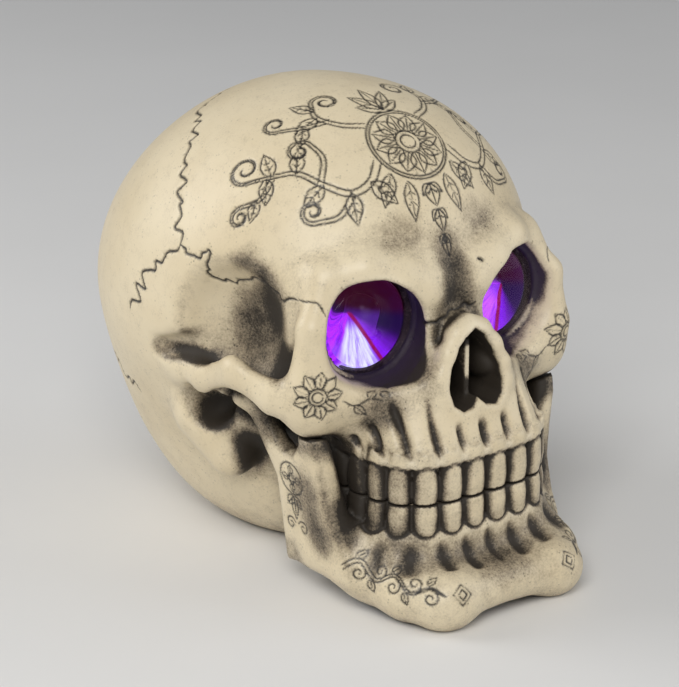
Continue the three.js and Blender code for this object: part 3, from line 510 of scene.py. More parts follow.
@dataclass
class CraniumForm:
    """The bone of the cranium as one form."""

    teeth: ToothRow
    lamp: LampSeat
    rim_spread: float = 28.3
    rim_height: float = 84.6
    rim_tilt: float = 0.06
    rim_rx: float = 17.3
    rim_rz: float = 16.6
    rim_y: float = -56.0
    rim_power: float = 2.1
    nose: tuple[Span, ...] = (
        (0.0, 84.6), (3.5, 82.2), (6.8, 77.2), (9.3, 71.6), (9.9, 67.0), (8.9, 62.8), (6.0, 60.5),
        (2.6, 61.2), (0.0, 63.6),
    )
    nose_floor: float = -45.0
    crown: Lump = ((0, 21, 77), (61, 70.5, 56))
    parietals: Lump = ((0, 12, 88), (57, 58, 56))
    forehead: Lump = ((0, -8, 92), (55, 44.5, 50))
    nape: Lump = ((0, 34, 44), (46, 48, 47.5))
    underside: Lump = ((0, 15, 26), (38, 43, 31))
    temple: Lump = ((65, -25, 82), (23, 24.5, 26))
    orbit_wall: Lump = ((38.5, -37, 86), (5.5, 9, 15))
    jaw_pit: Lump = ((46, -19, 55.5), (9, 9, 9.5))
    brow: tuple[Bead, ...] = (
        (0, -45.2, 97, 4.6), (9.5, -51.6, 95.8, 4.6), (17, -51, 99.2, 4.7), (27, -47.5, 103, 4.6),
        (36.5, -41.5, 100.5, 4.1),
    )
    outer_rim: tuple[Bead, ...] = ((37, -42, 101, 4.1), (44.5, -45.5, 88, 4.4), (45, -45.5, 73, 6.6))
    lower_rim: tuple[Bead, ...] = ((44, -45.5, 70, 6.2), (28, -49.5, 62.8, 5.2), (14, -54.5, 66.5, 5))
    nose_side: tuple[Bead, ...] = ((5, -47.5, 94, 4.2), (8, -51.5, 82, 4.4), (12.5, -57.5, 68, 6))
    bridge: tuple[Bead, ...] = ((0, -44.8, 91, 4.8), (0, -50.6, 82.8, 5), (0, -61.2, 82.2, 4.8))
    palate: Lump = ((0, -42, 60), (27, 20, 20))
    palate_floor: Lump = ((0, -45, 55), (26, 21, 9))
    nose_rim: tuple[Bead, ...] = (
        (0, -61.8, 84.6, 3.2), (4.4, -62.2, 82.8, 3), (8.6, -63, 77.5, 2.8), (11.2, -63.4, 71.5, 2.8),
        (11.5, -63.8, 65.5, 2.8), (6.6, -65, 60.6, 2.8), (0, -65.6, 61.6, 2.4),
    )
    cheek_root: tuple[Bead, Bead] = ((41, -43, 62, 6.5), (28, -43, 56, 6))
    cheek: Lump = ((43.5, -43.5, 63), (8.5, 6.5, 8.5))
    arch: tuple[Bead, ...] = (
        (45.5, -44, 65, 6.2), (53, -36.5, 66.5, 4.7), (57.6, -24, 71.6, 4.2), (57.8, -8, 65, 3.7),
        (57, 4, 64.5, 3.7), (54, 16, 66, 3),
    )
    arch_groove: tuple[Bead, Bead] = ((57.5, -8, 75.5, 4.2), (60, 9, 70.5, 3))
    mastoid: tuple[Bead, Bead] = ((47, 5, 48, 10.5), (44.5, -4, 36.5, 7.5))
    ear: Lump = ((53, -4, 54.5), (11, 6, 8))
    concha: Lump = ((9.2, -54.0, 70.0), (3.0, 8.0, 5.0))
    septum: Lump = ((0.0, -52.0, 70.0), (0.9, 10.0, 10.5))
    box_middle: float = 18.0
    pocket: Point = (12.75, 18.8, 16.7)
    rebate: Point = (15.05, 21.1, 3.3)

    def fold(self, p: Array) -> Array:
        """Points folded onto the +x half."""
        return np.stack([np.abs(p[0]), p[1], p[2]])

    def vault(self, p: Array) -> Array:
        """The brain case alone.

        Args:
            p: Points as 3 rows, folded onto one half.

        Returns:
            Distance to its skin.
        """
        bone = join(ball(p, *self.crown), ball(p, *self.parietals), 14)
        bone = join(bone, ball(p, *self.forehead), 12)
        bone = join(bone, ball(p, *self.nape), 16)
        return join(bone, ball(p, *self.underside), 12)

    def socket(self, p: Array) -> Array:
        """One eye's opening: a tube that draws in from its rim to its lens.

        Args:
            p: Points as 3 rows, folded onto one half.

        Returns:
            Distance to the opening, negative inside it.
        """
        lamp = self.lamp
        floor = lamp.back - lamp.rim
        deep = np.clip((p[1] - self.rim_y) / (floor - self.rim_y), 0.0, 1.0)
        across = np.abs(p[0] - self.rim_spread - (lamp.spread - self.rim_spread) * deep)
        tilt = self.rim_tilt * (p[0] - self.rim_spread) * (1.0 - deep)
        up = np.abs(p[2] - self.rim_height - (lamp.height - self.rim_height) * deep - tilt)
        rx = self.rim_rx + (lamp.lens_width / 2 + 1.2 - self.rim_rx) * deep
        rz = self.rim_rz + (lamp.lens_height / 2 + 1.2 - self.rim_rz) * deep
        far = ((across / rx) ** self.rim_power + (up / rz) ** self.rim_power) ** (1.0 / self.rim_power)
        return np.maximum((far - 1.0) * rz, p[1] - floor)

    def nostrils(self, p: Array) -> Array:
        """The deep pear-shaped opening of the nose."""
        mirrored = [*self.nose, *((-x, z) for x, z in self.nose[-2:0:-1])]
        return np.maximum(outline(mirrored, p[0], p[2]), p[1] - self.nose_floor)

    def face(self, p: Array) -> Array:
        """The bone without its crowns, before its eyes and nose are opened.

        Args:
            p: Points as 3 rows, folded onto one half.

        Returns:
            Distance to the bone.
        """
        bone = cut(self.vault(p), ball(p, *self.temple), 4)
        bone = join(bone, ball(p, *self.orbit_wall), 6)
        bone = cut(bone, ball(p, *self.jaw_pit), 4)
        bone = join(bone, chain(p, self.brow, 4), 9)
        bone = join(bone, chain(p, self.outer_rim, 3), 4)
        bone = join(bone, chain(p, self.lower_rim, 4), 5)
        bone = join(bone, chain(p, self.nose_side, 4), 5)
        bone = join(bone, chain(p, self.bridge, 4), 3)
        bone = join(bone, ball(p, *self.palate), 8)
        bone = join(bone, ball(p, *self.palate_floor), 6)
        bone = join(bone, self.teeth.gum(p, 58, 11, 4.3, self.teeth.upper_roots.slim, 1), 6)
        bone = join(bone, chain(p, self.nose_rim, 2), 3)
        bone = join(bone, rod(p, *self.cheek_root), 6)
        bone = join(bone, ball(p, *self.cheek), 5)
        bone = join(bone, chain(p, self.arch, 3, 1.5), 4)
        bone = cut(bone, rod(p, *self.arch_groove), 3)
        bone = join(bone, rod(p, *self.mastoid), 5)
        return cut(bone, ball(p, *self.ear), 2.5)

    def bone(self, p: Array) -> Array:
        """The whole bone without its crowns.

        Args:
            p: Points as 3 rows.

        Returns:
            Distance to the bone.
        """
        p = self.fold(p)
        bone = cut(cut(self.face(p), self.socket(p), 1.4), self.nostrils(p), 1.3)
        return join(bone, ball(p, *self.concha), 1.5)

    def outer(self, p: Array) -> Array:
        """The bone with its crowns and the thin wall inside the nose.

        Args:
            p: Points as 3 rows.

        Returns:
            Distance to the outside of the bone.
        """
        q = self.fold(p)
        bone = join(self.bone(p), self.teeth.crown(q, 1), 0.9)
        middle, half = self.septum
        wall = np.maximum(q[0] - half[0], np.abs(q[1] - middle[1]) - half[1])
        return join(bone, np.maximum(wall, np.abs(q[2] - middle[2]) - half[2]), 1.2)

    def solid(self, p: Array) -> Array:
        """The casting: hollow, with its lamp rooms, its battery pocket and its flat base.

        Args:
            p: Points as 3 rows.

        Returns:
            Distance to the casting.
        """
        q = self.fold(p)
        room_middle = (self.lamp.spread, self.lamp.back + 1.0, self.lamp.height)
        keep_out = ball(q, room_middle, tuple(r + WALL - 1.0 for r in self.lamp.room))
        hollow = np.maximum(np.maximum(self.bone(p), self.vault(q)) + WALL, -keep_out)
        made = np.maximum(self.outer(p), -hollow)
        made = np.maximum(made, -self.lamp.space(p))
        along = np.abs(q[1] - self.box_middle)
        for wide, deep, tall in (self.pocket, self.rebate):
            made = np.maximum(made, -np.maximum(np.maximum(q[0] - wide, along - deep), q[2] - tall))
        return np.maximum(made, -q[2])


@dataclass
class JawForm:
    """The bone of the jaw as one form, kept clear of the cranium."""

    teeth: ToothRow
    cranium: CraniumForm
    clearance: float = 0.6
    side_outline: tuple[Span, ...] = (
        (-23.5, 6), (-24.5, 22), (-25, 36), (-20, 45), (-14.5, 54.5), (-12.5, 59), (-14.5, 62.5), (-20.5, 62),
        (-24, 54.5), (-27.5, 48.5), (-31.5, 46), (-36, 47), (-39, 51), (-40, 57), (-42.5, 60), (-47.5, 58),
        (-50, 50), (-50.5, 40), (-51.5, 30), (-55, 22), (-58, 10), (-41.5, 9),
    )
    body: tuple[Bead, ...] = (
        (0, -79, 9, 6.8), (18, -78.8, 8.5, 7.2), (27.5, -70, 9, 7), (33, -54, 12.5, 6.6), (35, -38, 15, 6.4),
    )
    chin: Lump = ((22, -78.5, 7.2), (8.5, 7.8, 7.8))
    knob: Lump = ((45.5, -16, 59.5), (6.5, 4, 4))
    upright_foot: float = 12.0
    upright_at: float = 35.3
    upright_splay: float = 0.2
    upright_half: float = 5.2
    upright_taper: float = 0.04

    def outer(self, p: Array) -> Array:
        """The jaw with its crowns, above and below the table alike.

        Args:
            p: Points as 3 rows.

        Returns:
            Distance to the outside of the jaw.
        """
        q = self.cranium.fold(p)
        bone = join(chain(q, self.body, 5), ball(q, *self.chin), 5)
        bone = join(bone, self.teeth.gum(q, 16, 11, 4.2, self.teeth.lower_roots.slim, -1), 9)
        up = q[2] - self.upright_foot
        across = np.abs(q[0] - (self.upright_at + up * self.upright_splay))
        plate = across - (self.upright_half - up * self.upright_taper)
        ramus = keep(plate, outline(self.side_outline, q[1], q[2]), 4)
        bone = join(bone, join(ramus, ball(q, *self.knob), 4), 4)
        bone = cut(bone, self.cranium.bone(p) - self.clearance, 0.5)
        return join(bone, self.teeth.crown(q, -1), 0.9)

    def solid(self, p: Array) -> Array:
        """The casting on its flat base."""
        return np.maximum(self.outer(p), -p[2])


def spaced(*spans: Point) -> Array:
    """Grid lines along one axis.

    Args:
        *spans: The (start, end, step) of each stretch, in order.

    Returns:
        Where the lines lie.
    """
    lines = [spans[0][0]]
    for start, end, step in spans:
        count = max(1, round((end - start) / step))
        lines.extend(start + (end - start) * i / count for i in range(1, count + 1))
    return np.array(lines)


@dataclass
class Net:
    """A triangle net drawn over a form's skin."""

    points: Array
    triangles: Array
    overlong: ClassVar[float] = 1.4

    @classmethod
    def over(cls, form: Form, axes: tuple[Array, Array, Array]) -> "Net":
        """One point in each grid cell that the skin crosses, joined across the crossed grid edges.

        Args:
            form: The form to draw.
            axes: Grid lines in x, y and z.

        Returns:
            The net, with its points drawn onto the skin.
        """
        mesh = np.meshgrid(*axes, indexing="ij")
        shape = mesh[0].shape
        value = form(np.stack([m.ravel() for m in mesh])).reshape(shape)
        inside = value < 0.0
        corners = [(i, j, k) for i in (0, 1) for j in (0, 1) for k in (0, 1)]
        held = np.zeros([n - 1 for n in shape], dtype=int)
        for i, j, k in corners:
            held += inside[i:shape[0] - 1 + i, j:shape[1] - 1 + j, k:shape[2] - 1 + k]
        cells = np.argwhere((held > 0) & (held < 8))
        index = np.full(held.shape, -1)
        index[tuple(cells.T)] = np.arange(len(cells))
        total = np.zeros((len(cells), 3))
        count = np.zeros(len(cells))
        for corner in corners:
            for d in range(3):
                if corner[d]:
                    continue
                a = cells + np.array(corner)
                b = a.copy()
                b[:, d] += 1
                va, vb = value[tuple(a.T)], value[tuple(b.T)]
                crossed = (va < 0.0) != (vb < 0.0)
                t = np.where(crossed, va / np.where(crossed, va - vb, 1.0), 0.0)
                for m in range(3):
                    pa, pb = axes[m][a[:, m]], axes[m][b[:, m]]
                    total[:, m] += np.where(crossed, pa + t * (pb - pa), 0.0)
                count += crossed
        points = total / count[:, None]
        net = cls(points, cls._faces(inside, index, points))
        net.settle(form, steps=3, reach=0.8)
        return net

    @staticmethod
    def _faces(inside: Array, index: Array, points: Array) -> Array:
        """The triangles of a net, two to each crossed grid edge.

        Args:
            inside: Which grid points lie inside the form.
            index: The net's point in each cell, or -1.
            points: The net's points.

        Returns:
            Corners of each triangle.
        """
        quads = []
        for d in range(3):
            e, f = (d + 1) % 3, (d + 2) % 3
            low, high = [slice(None)] * 3, [slice(None)] * 3
            low[d], high[d] = slice(0, -1), slice(1, None)
            a, b = inside[tuple(low)], inside[tuple(high)]
            edge = np.argwhere(a != b)
            fits = (edge[:, e] > 0) & (edge[:, f] > 0)
            fits &= (edge[:, e] < inside.shape[e] - 1) & (edge[:, f] < inside.shape[f] - 1)
            edge = edge[fits]
            ring = []
            for back_e, back_f in ((1, 1), (0, 1), (0, 0), (1, 0)):
                cell = edge.copy()
                cell[:, e] -= back_e
                cell[:, f] -= back_f
                ring.append(index[tuple(cell.T)])
            ring = np.stack(ring, 1)
            quads.append(np.where(a[tuple(edge.T)][:, None], ring, ring[:, ::-1]))
        q = np.concatenate(quads)
        first = np.linalg.norm(points[q[:, 0]] - points[q[:, 2]], axis=1)
        other = np.linalg.norm(points[q[:, 1]] - points[q[:, 3]], axis=1)
        short = (first <= other)[:, None]
        return np.concatenate([np.where(short, q[:, [0, 1, 2]], q[:, [0, 1, 3]]),
                               np.where(short, q[:, [0, 2, 3]], q[:, [1, 2, 3]])])

    def settle(self, form: Form, steps: int, reach: float, which: Array | None = None) -> None:
        """Draws points onto a form's skin.

        Args:
            form: The form to draw to.
            steps: How often each point moves.
            reach: The furthest one move goes.
            which: Only these points, or all of them.
        """
        which = np.arange(len(self.points)) if which is None else which
        p = self.points[which].T.copy()
        for _ in range(steps):
            g = slope(form, p)
            steep = np.maximum((g**2).sum(0), 0.04)
            p -= g * np.clip(form(p) / steep, -reach, reach)
        self.points[which] = p.T

    def refine(self, form: Form, size: Form, passes: int) -> None:
        """Splits edges that are longer than the size asked for at their place.

        Args:
            form: The form that new points are drawn onto.
            size: Gives the wanted edge length at some points.
            passes: How many times each edge may be halved.
        """
        for _ in range(passes):
            t = self.triangles
            pairs = np.sort(np.concatenate([t[:, [0, 1]], t[:, [1, 2]], t[:, [2, 0]]]), axis=1)
            edges, back = np.unique(pairs, axis=0, return_inverse=True)
            sides = back.reshape(3, -1).T
            length = np.linalg.norm(self.points[edges[:, 0]] - self.points[edges[:, 1]], axis=1)
            middle = (self.points[edges[:, 0]] + self.points[edges[:, 1]]) / 2.0
            split = length > self.overlong * size(middle.T)
            longest = sides[np.arange(len(t)), length[sides].argmax(1)]
            for _ in range(4):
                split[longest[split[sides].any(1)]] = True
            if not split.any():
                return
            fresh = np.full(len(edges), -1)
            fresh[split] = len(self.points) + np.arange(split.sum())
            first = len(self.points)
            self.points = np.concatenate([self.points, middle[split]])
            self.settle(form, steps=2, reach=0.5, which=np.arange(first, len(self.points)))
            self.triangles = self._split(t, fresh[sides])

    def _split(self, t: Array, m: Array) -> Array:
        """Triangles cut at the marked middles of their sides.

        Args:
            t: Corners of each triangle.
            m: The new point on each side, or -1.

        Returns:
            Corners of the smaller triangles.
        """
        marks = (m >= 0).sum(1)
        made = [t[marks == 0]]
        for count in (1, 2):
            for turn in range(3):
                a, b, c = turn, (turn + 1) % 3, (turn + 2) % 3
                held = (marks == count) & ((m[:, a] >= 0) if count == 1 else (m[:, c] < 0))
                v0, v1, v2, m0, m1 = t[held, a], t[held, b], t[held, c], m[held, a], m[held, b]
                if count == 1:
                    made += [np.stack([v0, m0, v2], 1), np.stack([m0, v1, v2], 1)]
                    continue
                near = np.linalg.norm(self.points[v0] - self.points[m1], axis=1)
                far = np.linalg.norm(self.points[m0] - self.points[v2], axis=1)
                short = (near <= far)[:, None]
                made.append(np.stack([m0, v1, m1], 1))
                made.append(np.where(short, np.stack([v0, m0, m1], 1), np.stack([v0, m0, v2], 1)))
                made.append(np.where(short, np.stack([v0, m1, v2], 1), np.stack([m0, m1, v2], 1)))
        whole = marks == 3
        v0, v1, v2 = t[whole].T
        m0, m1, m2 = m[whole].T
        made += [np.stack(part, 1) for part in ((v0, m0, m2), (m0, v1, m1), (m2, m1, v2), (m0, m1, m2))]
        return np.concatenate(made)


@dataclass
class Engraving:
    """Lines cut into a casting and filled with dark wash."""

    points: list[Array] = field(default_factory=list)
    halves: list[Array] = field(default_factory=list)
    depths: list[Array] = field(default_factory=list)
    tree: KDTree | None = None
    cell: float = 2.0
    reach: float = 5.0
    spacing: float = 0.22
    shortest: float = 0.5
    taper_run: float = 2.5
    taper_end: float = 0.55

    def add(self, line: Line, half: float, depth: float) -> None:
        """Adds one line.

        Args:
            line: Its points, n rows of 3.
            half: Half its width.
            depth: How deep it is cut.
        """
        steps = np.linalg.norm(np.diff(line, axis=0), axis=1)
        run = np.concatenate([[0.0], np.cumsum(steps)])
        if run[-1] < self.shortest:
            return
        at = np.linspace(0.0, run[-1], max(2, int(run[-1] / self.spacing)))
        dense = np.stack([np.interp(at, run, line[:, m]) for m in range(3)], 1)
        ends = np.minimum(at, run[-1] - at)
        taper = self.taper_end + (1.0 - self.taper_end) * np.clip(ends / self.taper_run, 0.0, 1.0)
        self.points.append(dense)
        self.halves.append(half * taper)
        self.depths.append(depth * taper)

    def close(self) -> None:
        """Sorts the points for quick finding."""
        points = np.concatenate(self.points)
        self.half = np.concatenate(self.halves)
        self.deep = np.concatenate(self.depths)
        self.tree = KDTree(len(points))
        for i, point in enumerate(points):
            self.tree.insert(point, i)
        self.tree.balance()
        margin = int(self.reach / self.cell) + 1
        self.low = points.min(0) - (margin + 1) * self.cell
        cells = np.floor((points - self.low) / self.cell).astype(int)
        self.close_by = np.zeros(cells.max(0) + margin + 2, dtype=bool)
        self.close_by[tuple(cells.T)] = True
        for _ in range(margin):
            for axis in range(3):
                self.close_by |= np.roll(self.close_by, 1, axis) | np.roll(self.close_by, -1, axis)

    def nearest(self, p: Array) -> tuple[Array, Array]:
        """The closest line point to each of some points.

        Args:
            p: Points as 3 rows.

        Returns:
            Distances, no larger than the reach, and indices of the line points.
        """
        cells = np.floor((p.T - self.low) / self.cell).astype(int)
        held = ((cells >= 0) & (cells < self.close_by.shape)).all(1)
        held[held] = self.close_by[tuple(cells[held].T)]
        far, index = np.full(len(held), self.reach), np.zeros(len(held), dtype=int)
        for i in np.flatnonzero(held):
            _, index[i], far[i] = self.tree.find(p[:, i])
        return far, index


class Signal:
    """One output of a node, with arithmetic that adds Math nodes."""

    def __init__(self, recipe: "Recipe", socket: bpy.types.NodeSocket) -> None:
        """Holds a socket and the recipe that it is in."""
        self.recipe = recipe
        self.socket = socket

    def __add__(self, other: "Signal | float") -> "Signal":
        """Sum."""
        return self.recipe.maths("ADD", self, other)

    def __sub__(self, other: "Signal | float") -> "Signal":
        """Difference."""
        return self.recipe.maths("SUBTRACT", self, other)

    def __rsub__(self, other: float) -> "Signal":
        """Difference from a number."""
        return self.recipe.maths("SUBTRACT", other, self)

    def __mul__(self, other: "Signal | float") -> "Signal":
        """Product."""
        return self.recipe.maths("MULTIPLY", self, other)

    __radd__ = __add__
    __rmul__ = __mul__

    def most(self, other: "Signal | float") -> "Signal":
        """The larger of two."""
        return self.recipe.maths("MAXIMUM", self, other)

    def step(self, low: float, high: float) -> "Signal":
        """A soft step from 0 at low to 1 at high."""
        node = self.recipe.node("ShaderNodeMapRange", {"interpolation_type": "SMOOTHSTEP"},
                                {"Value": self, "From Min": low, "From Max": high})
        return Signal(self.recipe, node.outputs[0])


class Recipe:
    """A material as it is mixed: nodes, signals and the shader they feed."""

    def __init__(self, name: str) -> None:
        """Starts an empty material."""
        self.material = bpy.data.materials.new(name)
        self.material.use_nodes = True
        self.tree = self.material.node_tree
        self.tree.nodes.clear()

    def node(self, kind: str, settings: dict | None = None, inputs: dict | None = None) -> bpy.types.Node:
        """Adds any node.

        Args:
            kind: Its type.
            settings: Properties, set first.
            inputs: Values or signals by socket name or number.

        Returns:
            The node.
        """
        made = self.tree.nodes.new(kind)
        for key, value in (settings or {}).items():
            setattr(made, key, value)
        for key, value in (inputs or {}).items():
            if isinstance(value, Signal):
                self.tree.links.new(value.socket, made.inputs[key])
            else:
                made.inputs[key].default_value = value
        return made

    def maths(self, operation: str, a: "Signal | float", b: "Signal | float") -> Signal:
        """One Math node."""
        return Signal(self, self.node("ShaderNodeMath", {"operation": operation}, {0: a, 1: b}).outputs[0])

    def place(self) -> Signal:
        """Object coordinates, in metres."""
        return Signal(self, self.node("ShaderNodeTexCoord").outputs["Object"])

    def mapped(self, at: Sequence[float], size: Sequence[float]) -> Signal:
        """Object coordinates about a centre, in units of a size."""
        inputs = {"Vector": self.place(), "Location": at, "Scale": size}
        return Signal(self, self.node("ShaderNodeMapping", {"vector_type": "TEXTURE"}, inputs).outputs[0])

    def along(self, vector: Signal, way: Vector) -> Signal:
        """How far a vector reaches along a direction."""
        node = self.node("ShaderNodeVectorMath", {"operation": "DOT_PRODUCT"}, {0: vector, 1: way})
        return Signal(self, node.outputs["Value"])

    def join(self, x: "Signal | float", y: "Signal | float", z: "Signal | float") -> Signal:
        """A vector from three numbers."""
        return Signal(self, self.node("ShaderNodeCombineXYZ", None, {0: x, 1: y, 2: z}).outputs[0])

    def noise(
        self, scale: float, detail: float = 3.0, rough: float = 0.55, at: Signal | None = None
    ) -> Signal:
        """Cloudy noise, with its scale in cells per metre."""
        inputs = {"Vector": at or self.place(), "Scale": scale, "Detail": detail, "Roughness": rough}
        return Signal(self, self.node("ShaderNodeTexNoise", None, inputs).outputs[0])

    def cells(self, scale: float) -> Signal:
        """Distance to the nearest of scattered points."""
        inputs = {"Vector": self.place(), "Scale": scale}
        return Signal(self, self.node("ShaderNodeTexVoronoi", None, inputs).outputs["Distance"])

    def attribute(self, name: str) -> Signal:
        """A number kept on the mesh."""
        return Signal(self, self.node("ShaderNodeAttribute", {"attribute_name": name}).outputs["Fac"])

    def mix(self, share: "Signal | float", a: "Signal | Colour", b: "Signal | Colour") -> Signal:
        """Two colours mixed.

        Args:
            share: How much of the second.
            a: First colour.
            b: Second colour.

        Returns:
            The mixed colour.
        """
        a, b = (c if isinstance(c, Signal) else (*c, 1.0) for c in (a, b))
        node = self.node("ShaderNodeMix", {"data_type": "RGBA"}, {0: share, 6: a, 7: b})
        return Signal(self, node.outputs[2])

    def bump(self, height: Signal, strength: float, distance: float) -> Signal:
        """A bumped normal."""
        inputs = {"Height": height, "Strength": strength, "Distance": distance}
        return Signal(self, self.node("ShaderNodeBump", None, inputs).outputs[0])

    def finish(self, **sockets: "Signal | float | Colour") -> Material:
        """Ends the material in one Principled shader.

        Args:
            **sockets: Values or signals by socket name, with _ for a space.

        Returns:
            The material.
        """
        inputs = {}
        for key, value in sockets.items():
            colour = isinstance(value, tuple) and len(value) == 3
            inputs[key.replace("_", " ")] = (*value, 1.0) if colour else value
        shader = self.node("ShaderNodeBsdfPrincipled", None, inputs)
        out = self.node("ShaderNodeOutputMaterial")
        self.tree.links.new(shader.outputs[0], out.inputs["Surface"])
        return self.material


@dataclass(frozen=True)
class BoneFinish:
    """Ivory resin under a rubbed-back umber wash, with painted shade added in the hollows and openings, and
    violet lamp light painted near the eyes.
    """

    ivory: Colour = (0.76, 0.655, 0.46)
    straw: Colour = (0.64, 0.525, 0.335)
    taupe: Colour = (0.25, 0.195, 0.13)
    umber: Colour = (0.03, 0.023, 0.016)
    ink: Colour = (0.018, 0.014, 0.011)
    worn: Colour = (0.83, 0.74, 0.56)
    # Violet emission painted on the eye walls as lamp light.
    painted_spill_colour: Colour = (0.004, 0.0006, 0.018)

    def make(self) -> Material:
        """Mixes the finish from the mesh's wash-and-shade, ink, rub, dust and painted lamp light numbers."""
        r = Recipe("stained_bone")
        cloud = r.noise(30.0, 4.0)
        mottle = r.noise(230.0, 6.0, 0.62)
        grain = r.noise(1500.0, 3.0, 0.65)
        wash_and_shade = r.attribute("wash_and_shade")
        base = r.mix(cloud.step(0.36, 0.72) * 0.55, self.ivory, self.straw)
        base = r.mix(r.attribute("rub").step(0.15, 0.8) * 0.5, base, self.worn)
        # Darker towards taupe and umber by the wash-and-shade number: the wash, with painted shade in the
        # hollows and openings.
        veil = (wash_and_shade + (mottle - 0.5) * 0.5 + (grain - 0.5) * 0.45).step(0.08, 0.62)
        stain_and_shade = (wash_and_shade + (mottle - 0.5) * 0.6 + (grain - 0.5) * 0.75).step(0.36, 0.95)
        tone = r.mix(stain_and_shade, r.mix(veil * 0.85, base, self.taupe), self.umber)
        pits = 1.0 - r.cells(780.0).step(0.16, 0.3)
        sprinkle = r.noise(420.0, 2.0).step(0.5, 0.62)
        specks = pits * sprinkle * r.attribute("dust")
        tone = r.mix(specks.most(r.attribute("ink")), tone, self.ink)
        height = mottle * 0.6 + grain * 0.35 - specks * 0.5
        rough = 0.4 + stain_and_shade * 0.22 + (grain - 0.5) * 0.12
        # Painted lamp light: violet emission on the walls of the eye openings.
        painted_spill_colour = r.mix(r.attribute("painted_lamp_light") * (0.5 + mottle), (0.0, 0.0, 0.0), self.painted_spill_colour)
        return r.finish(Base_Color=tone, Roughness=rough, Normal=r.bump(height, 0.22, 0.0004),
                        Specular_IOR_Level=0.42, Emission_Color=painted_spill_colour, Emission_Strength=1.0)


@dataclass(frozen=True)
class GemFinish:
    """Clear violet acrylic."""

    tint: Colour = (0.9, 0.8, 1.0)
    bend: float = 1.16

    def make(self) -> Material:
        """Mixes the finish."""
        r = Recipe("violet_acrylic")
        scuffs = r.noise(900.0, 3.0).step(0.62, 0.8)
        waves = r.noise(160.0, 2.0)
        return r.finish(Base_Color=self.tint, Roughness=0.015 + scuffs * 0.05,
                        Normal=r.bump(waves, 0.05, 0.0006), Transmission_Weight=1.0, IOR=self.bend,
                        Specular_IOR_Level=0.5)


@dataclass(frozen=True)
class PaintedBeamFinish:
    """Painted lamp light for what lies behind a lens: a streaked beam from one point, a violet glow round it
    and painted shade above, all as emission.
    """

    name: str
    # Emission colours painted as lamp light, in order: the dim ground, the violet glow round the beam, the
    # beam's bright heart, its orchid flank, a rose fringe on its edge and the painted shade above; the last
    # is the plain base colour.
    night: Colour
    violet: Colour
    painted_beam_heart: Colour
    orchid: Colour = (0.42, 0.025, 0.85)
    rose: Colour = (0.2, 0.004, 0.05)
    painted_shade_above: Colour = (0.022, 0.001, 0.007)
    unlit: Colour = (0.01, 0.005, 0.03)
    # The camera's right and up, across which the painted beam is laid out.
    sight: tuple[Vector, Vector] = (Vector((0.7986, -0.6018, 0.0)), Vector((0.2058, 0.2731, 0.9399)))
    strength: float = 1.5

    def make(self, centre: Vector, spread: Span) -> Material:
        """Mixes the painted lamp light for one eye.

        Args:
            centre: Where the beam spreads from, in metres.
            spread: The beam's edges, as angles from straight down.

        Returns:
            The material.
        """
        r = Recipe(self.name)
        own = r.mapped(centre, (MM, MM, MM))
        right, up = (r.along(own, way) for way in self.sight)
        turn = r.maths("ARCTAN2", right, 0.0 - up)
        far = r.maths("SQRT", right * right + up * up, 0.0)
        streaks = r.noise(1.0, 4.0, 0.6, r.join(turn * 9.0, far * 0.09, 0.0))
        haze = r.noise(700.0, 3.0) * 0.5 + 0.75
        low, high = spread
        beam = turn.step(low, low + 0.16) * (1.0 - turn.step(high - 0.1, high))
        beam = beam * far.step(1.5, 6.0) * (1.0 - far.step(15.0, 18.0))
        halo = turn.step(low - 1.1, low - 0.1) * (1.0 - turn.step(high, high + 0.7))
        halo = halo * (1.0 - far.step(15.0, 21.0))
        # Painted lamp light in the plane facing the camera: glow round the beam, streaked flank, shade above,
        # the bright beam and the fringe on its edge.
        colour = r.mix(halo * (0.3 + streaks * 0.9) * haze, self.night, self.violet)
        flank = halo * (1.0 - turn.step(low - 0.1, low + 0.25))
        colour = r.mix(flank * streaks.step(0.4, 0.62), colour, self.orchid)
        colour = r.mix(up.step(-1.0, 2.0), colour, self.painted_shade_above)
        colour = r.mix(beam * (0.25 + streaks.step(0.34, 0.6) * 0.75), colour, self.painted_beam_heart)
        edge = r.maths("ABSOLUTE", turn - high - 0.03, 0.0) * far
        colour = r.mix((1.0 - edge.step(0.25, 0.7)) * (1.0 - up.step(-0.5, 0.5)), colour, self.rose)
        return r.finish(Base_Color=self.unlit, Roughness=0.3 + streaks * 0.2, Emission_Color=colour,
                        Emission_Strength=self.strength)


@dataclass(frozen=True)
class PlasticFinish:
    """Moulded plastic with a fine spark-eroded grain."""

    name: str
    colour: Colour
    light: Colour
    rough: float = 0.5
    grain: float = 1400.0

    def make(self) -> Material:
        """Mixes the finish."""
        r = Recipe(self.name)
        fine = r.noise(self.grain, 3.0)
        flow = r.noise(90.0, 3.0)
        colour = r.mix(flow.step(0.3, 0.75) * 0.6 + fine * 0.25, self.colour, self.light)
        rough = self.rough + (fine - 0.5) * 0.2
        return r.finish(Base_Color=colour, Roughness=rough, Normal=r.bump(fine, 0.3, 0.0002))


@dataclass(frozen=True)
class MetalFinish:
    """Plated metal with drawn marks and some tarnish."""

    name: str
    colour: Colour
    dull: Colour
    rough: float = 0.28

    def make(self) -> Material:
        """Mixes the finish."""
        r = Recipe(self.name)
        drawn = r.noise(500.0, 4.0, 0.6, r.mapped((0, 0, 0), (1.0, 14.0, 1.0)))
        spots = r.noise(260.0, 4.0)
        colour = r.mix(spots.step(0.5, 0.75), self.colour, self.dull)
        rough = self.rough + spots.step(0.5, 0.75) * 0.2 + (drawn - 0.5) * 0.15
        return r.finish(Base_Color=colour, Metallic=1.0, Roughness=rough, Normal=r.bump(drawn, 0.12, 0.0002))


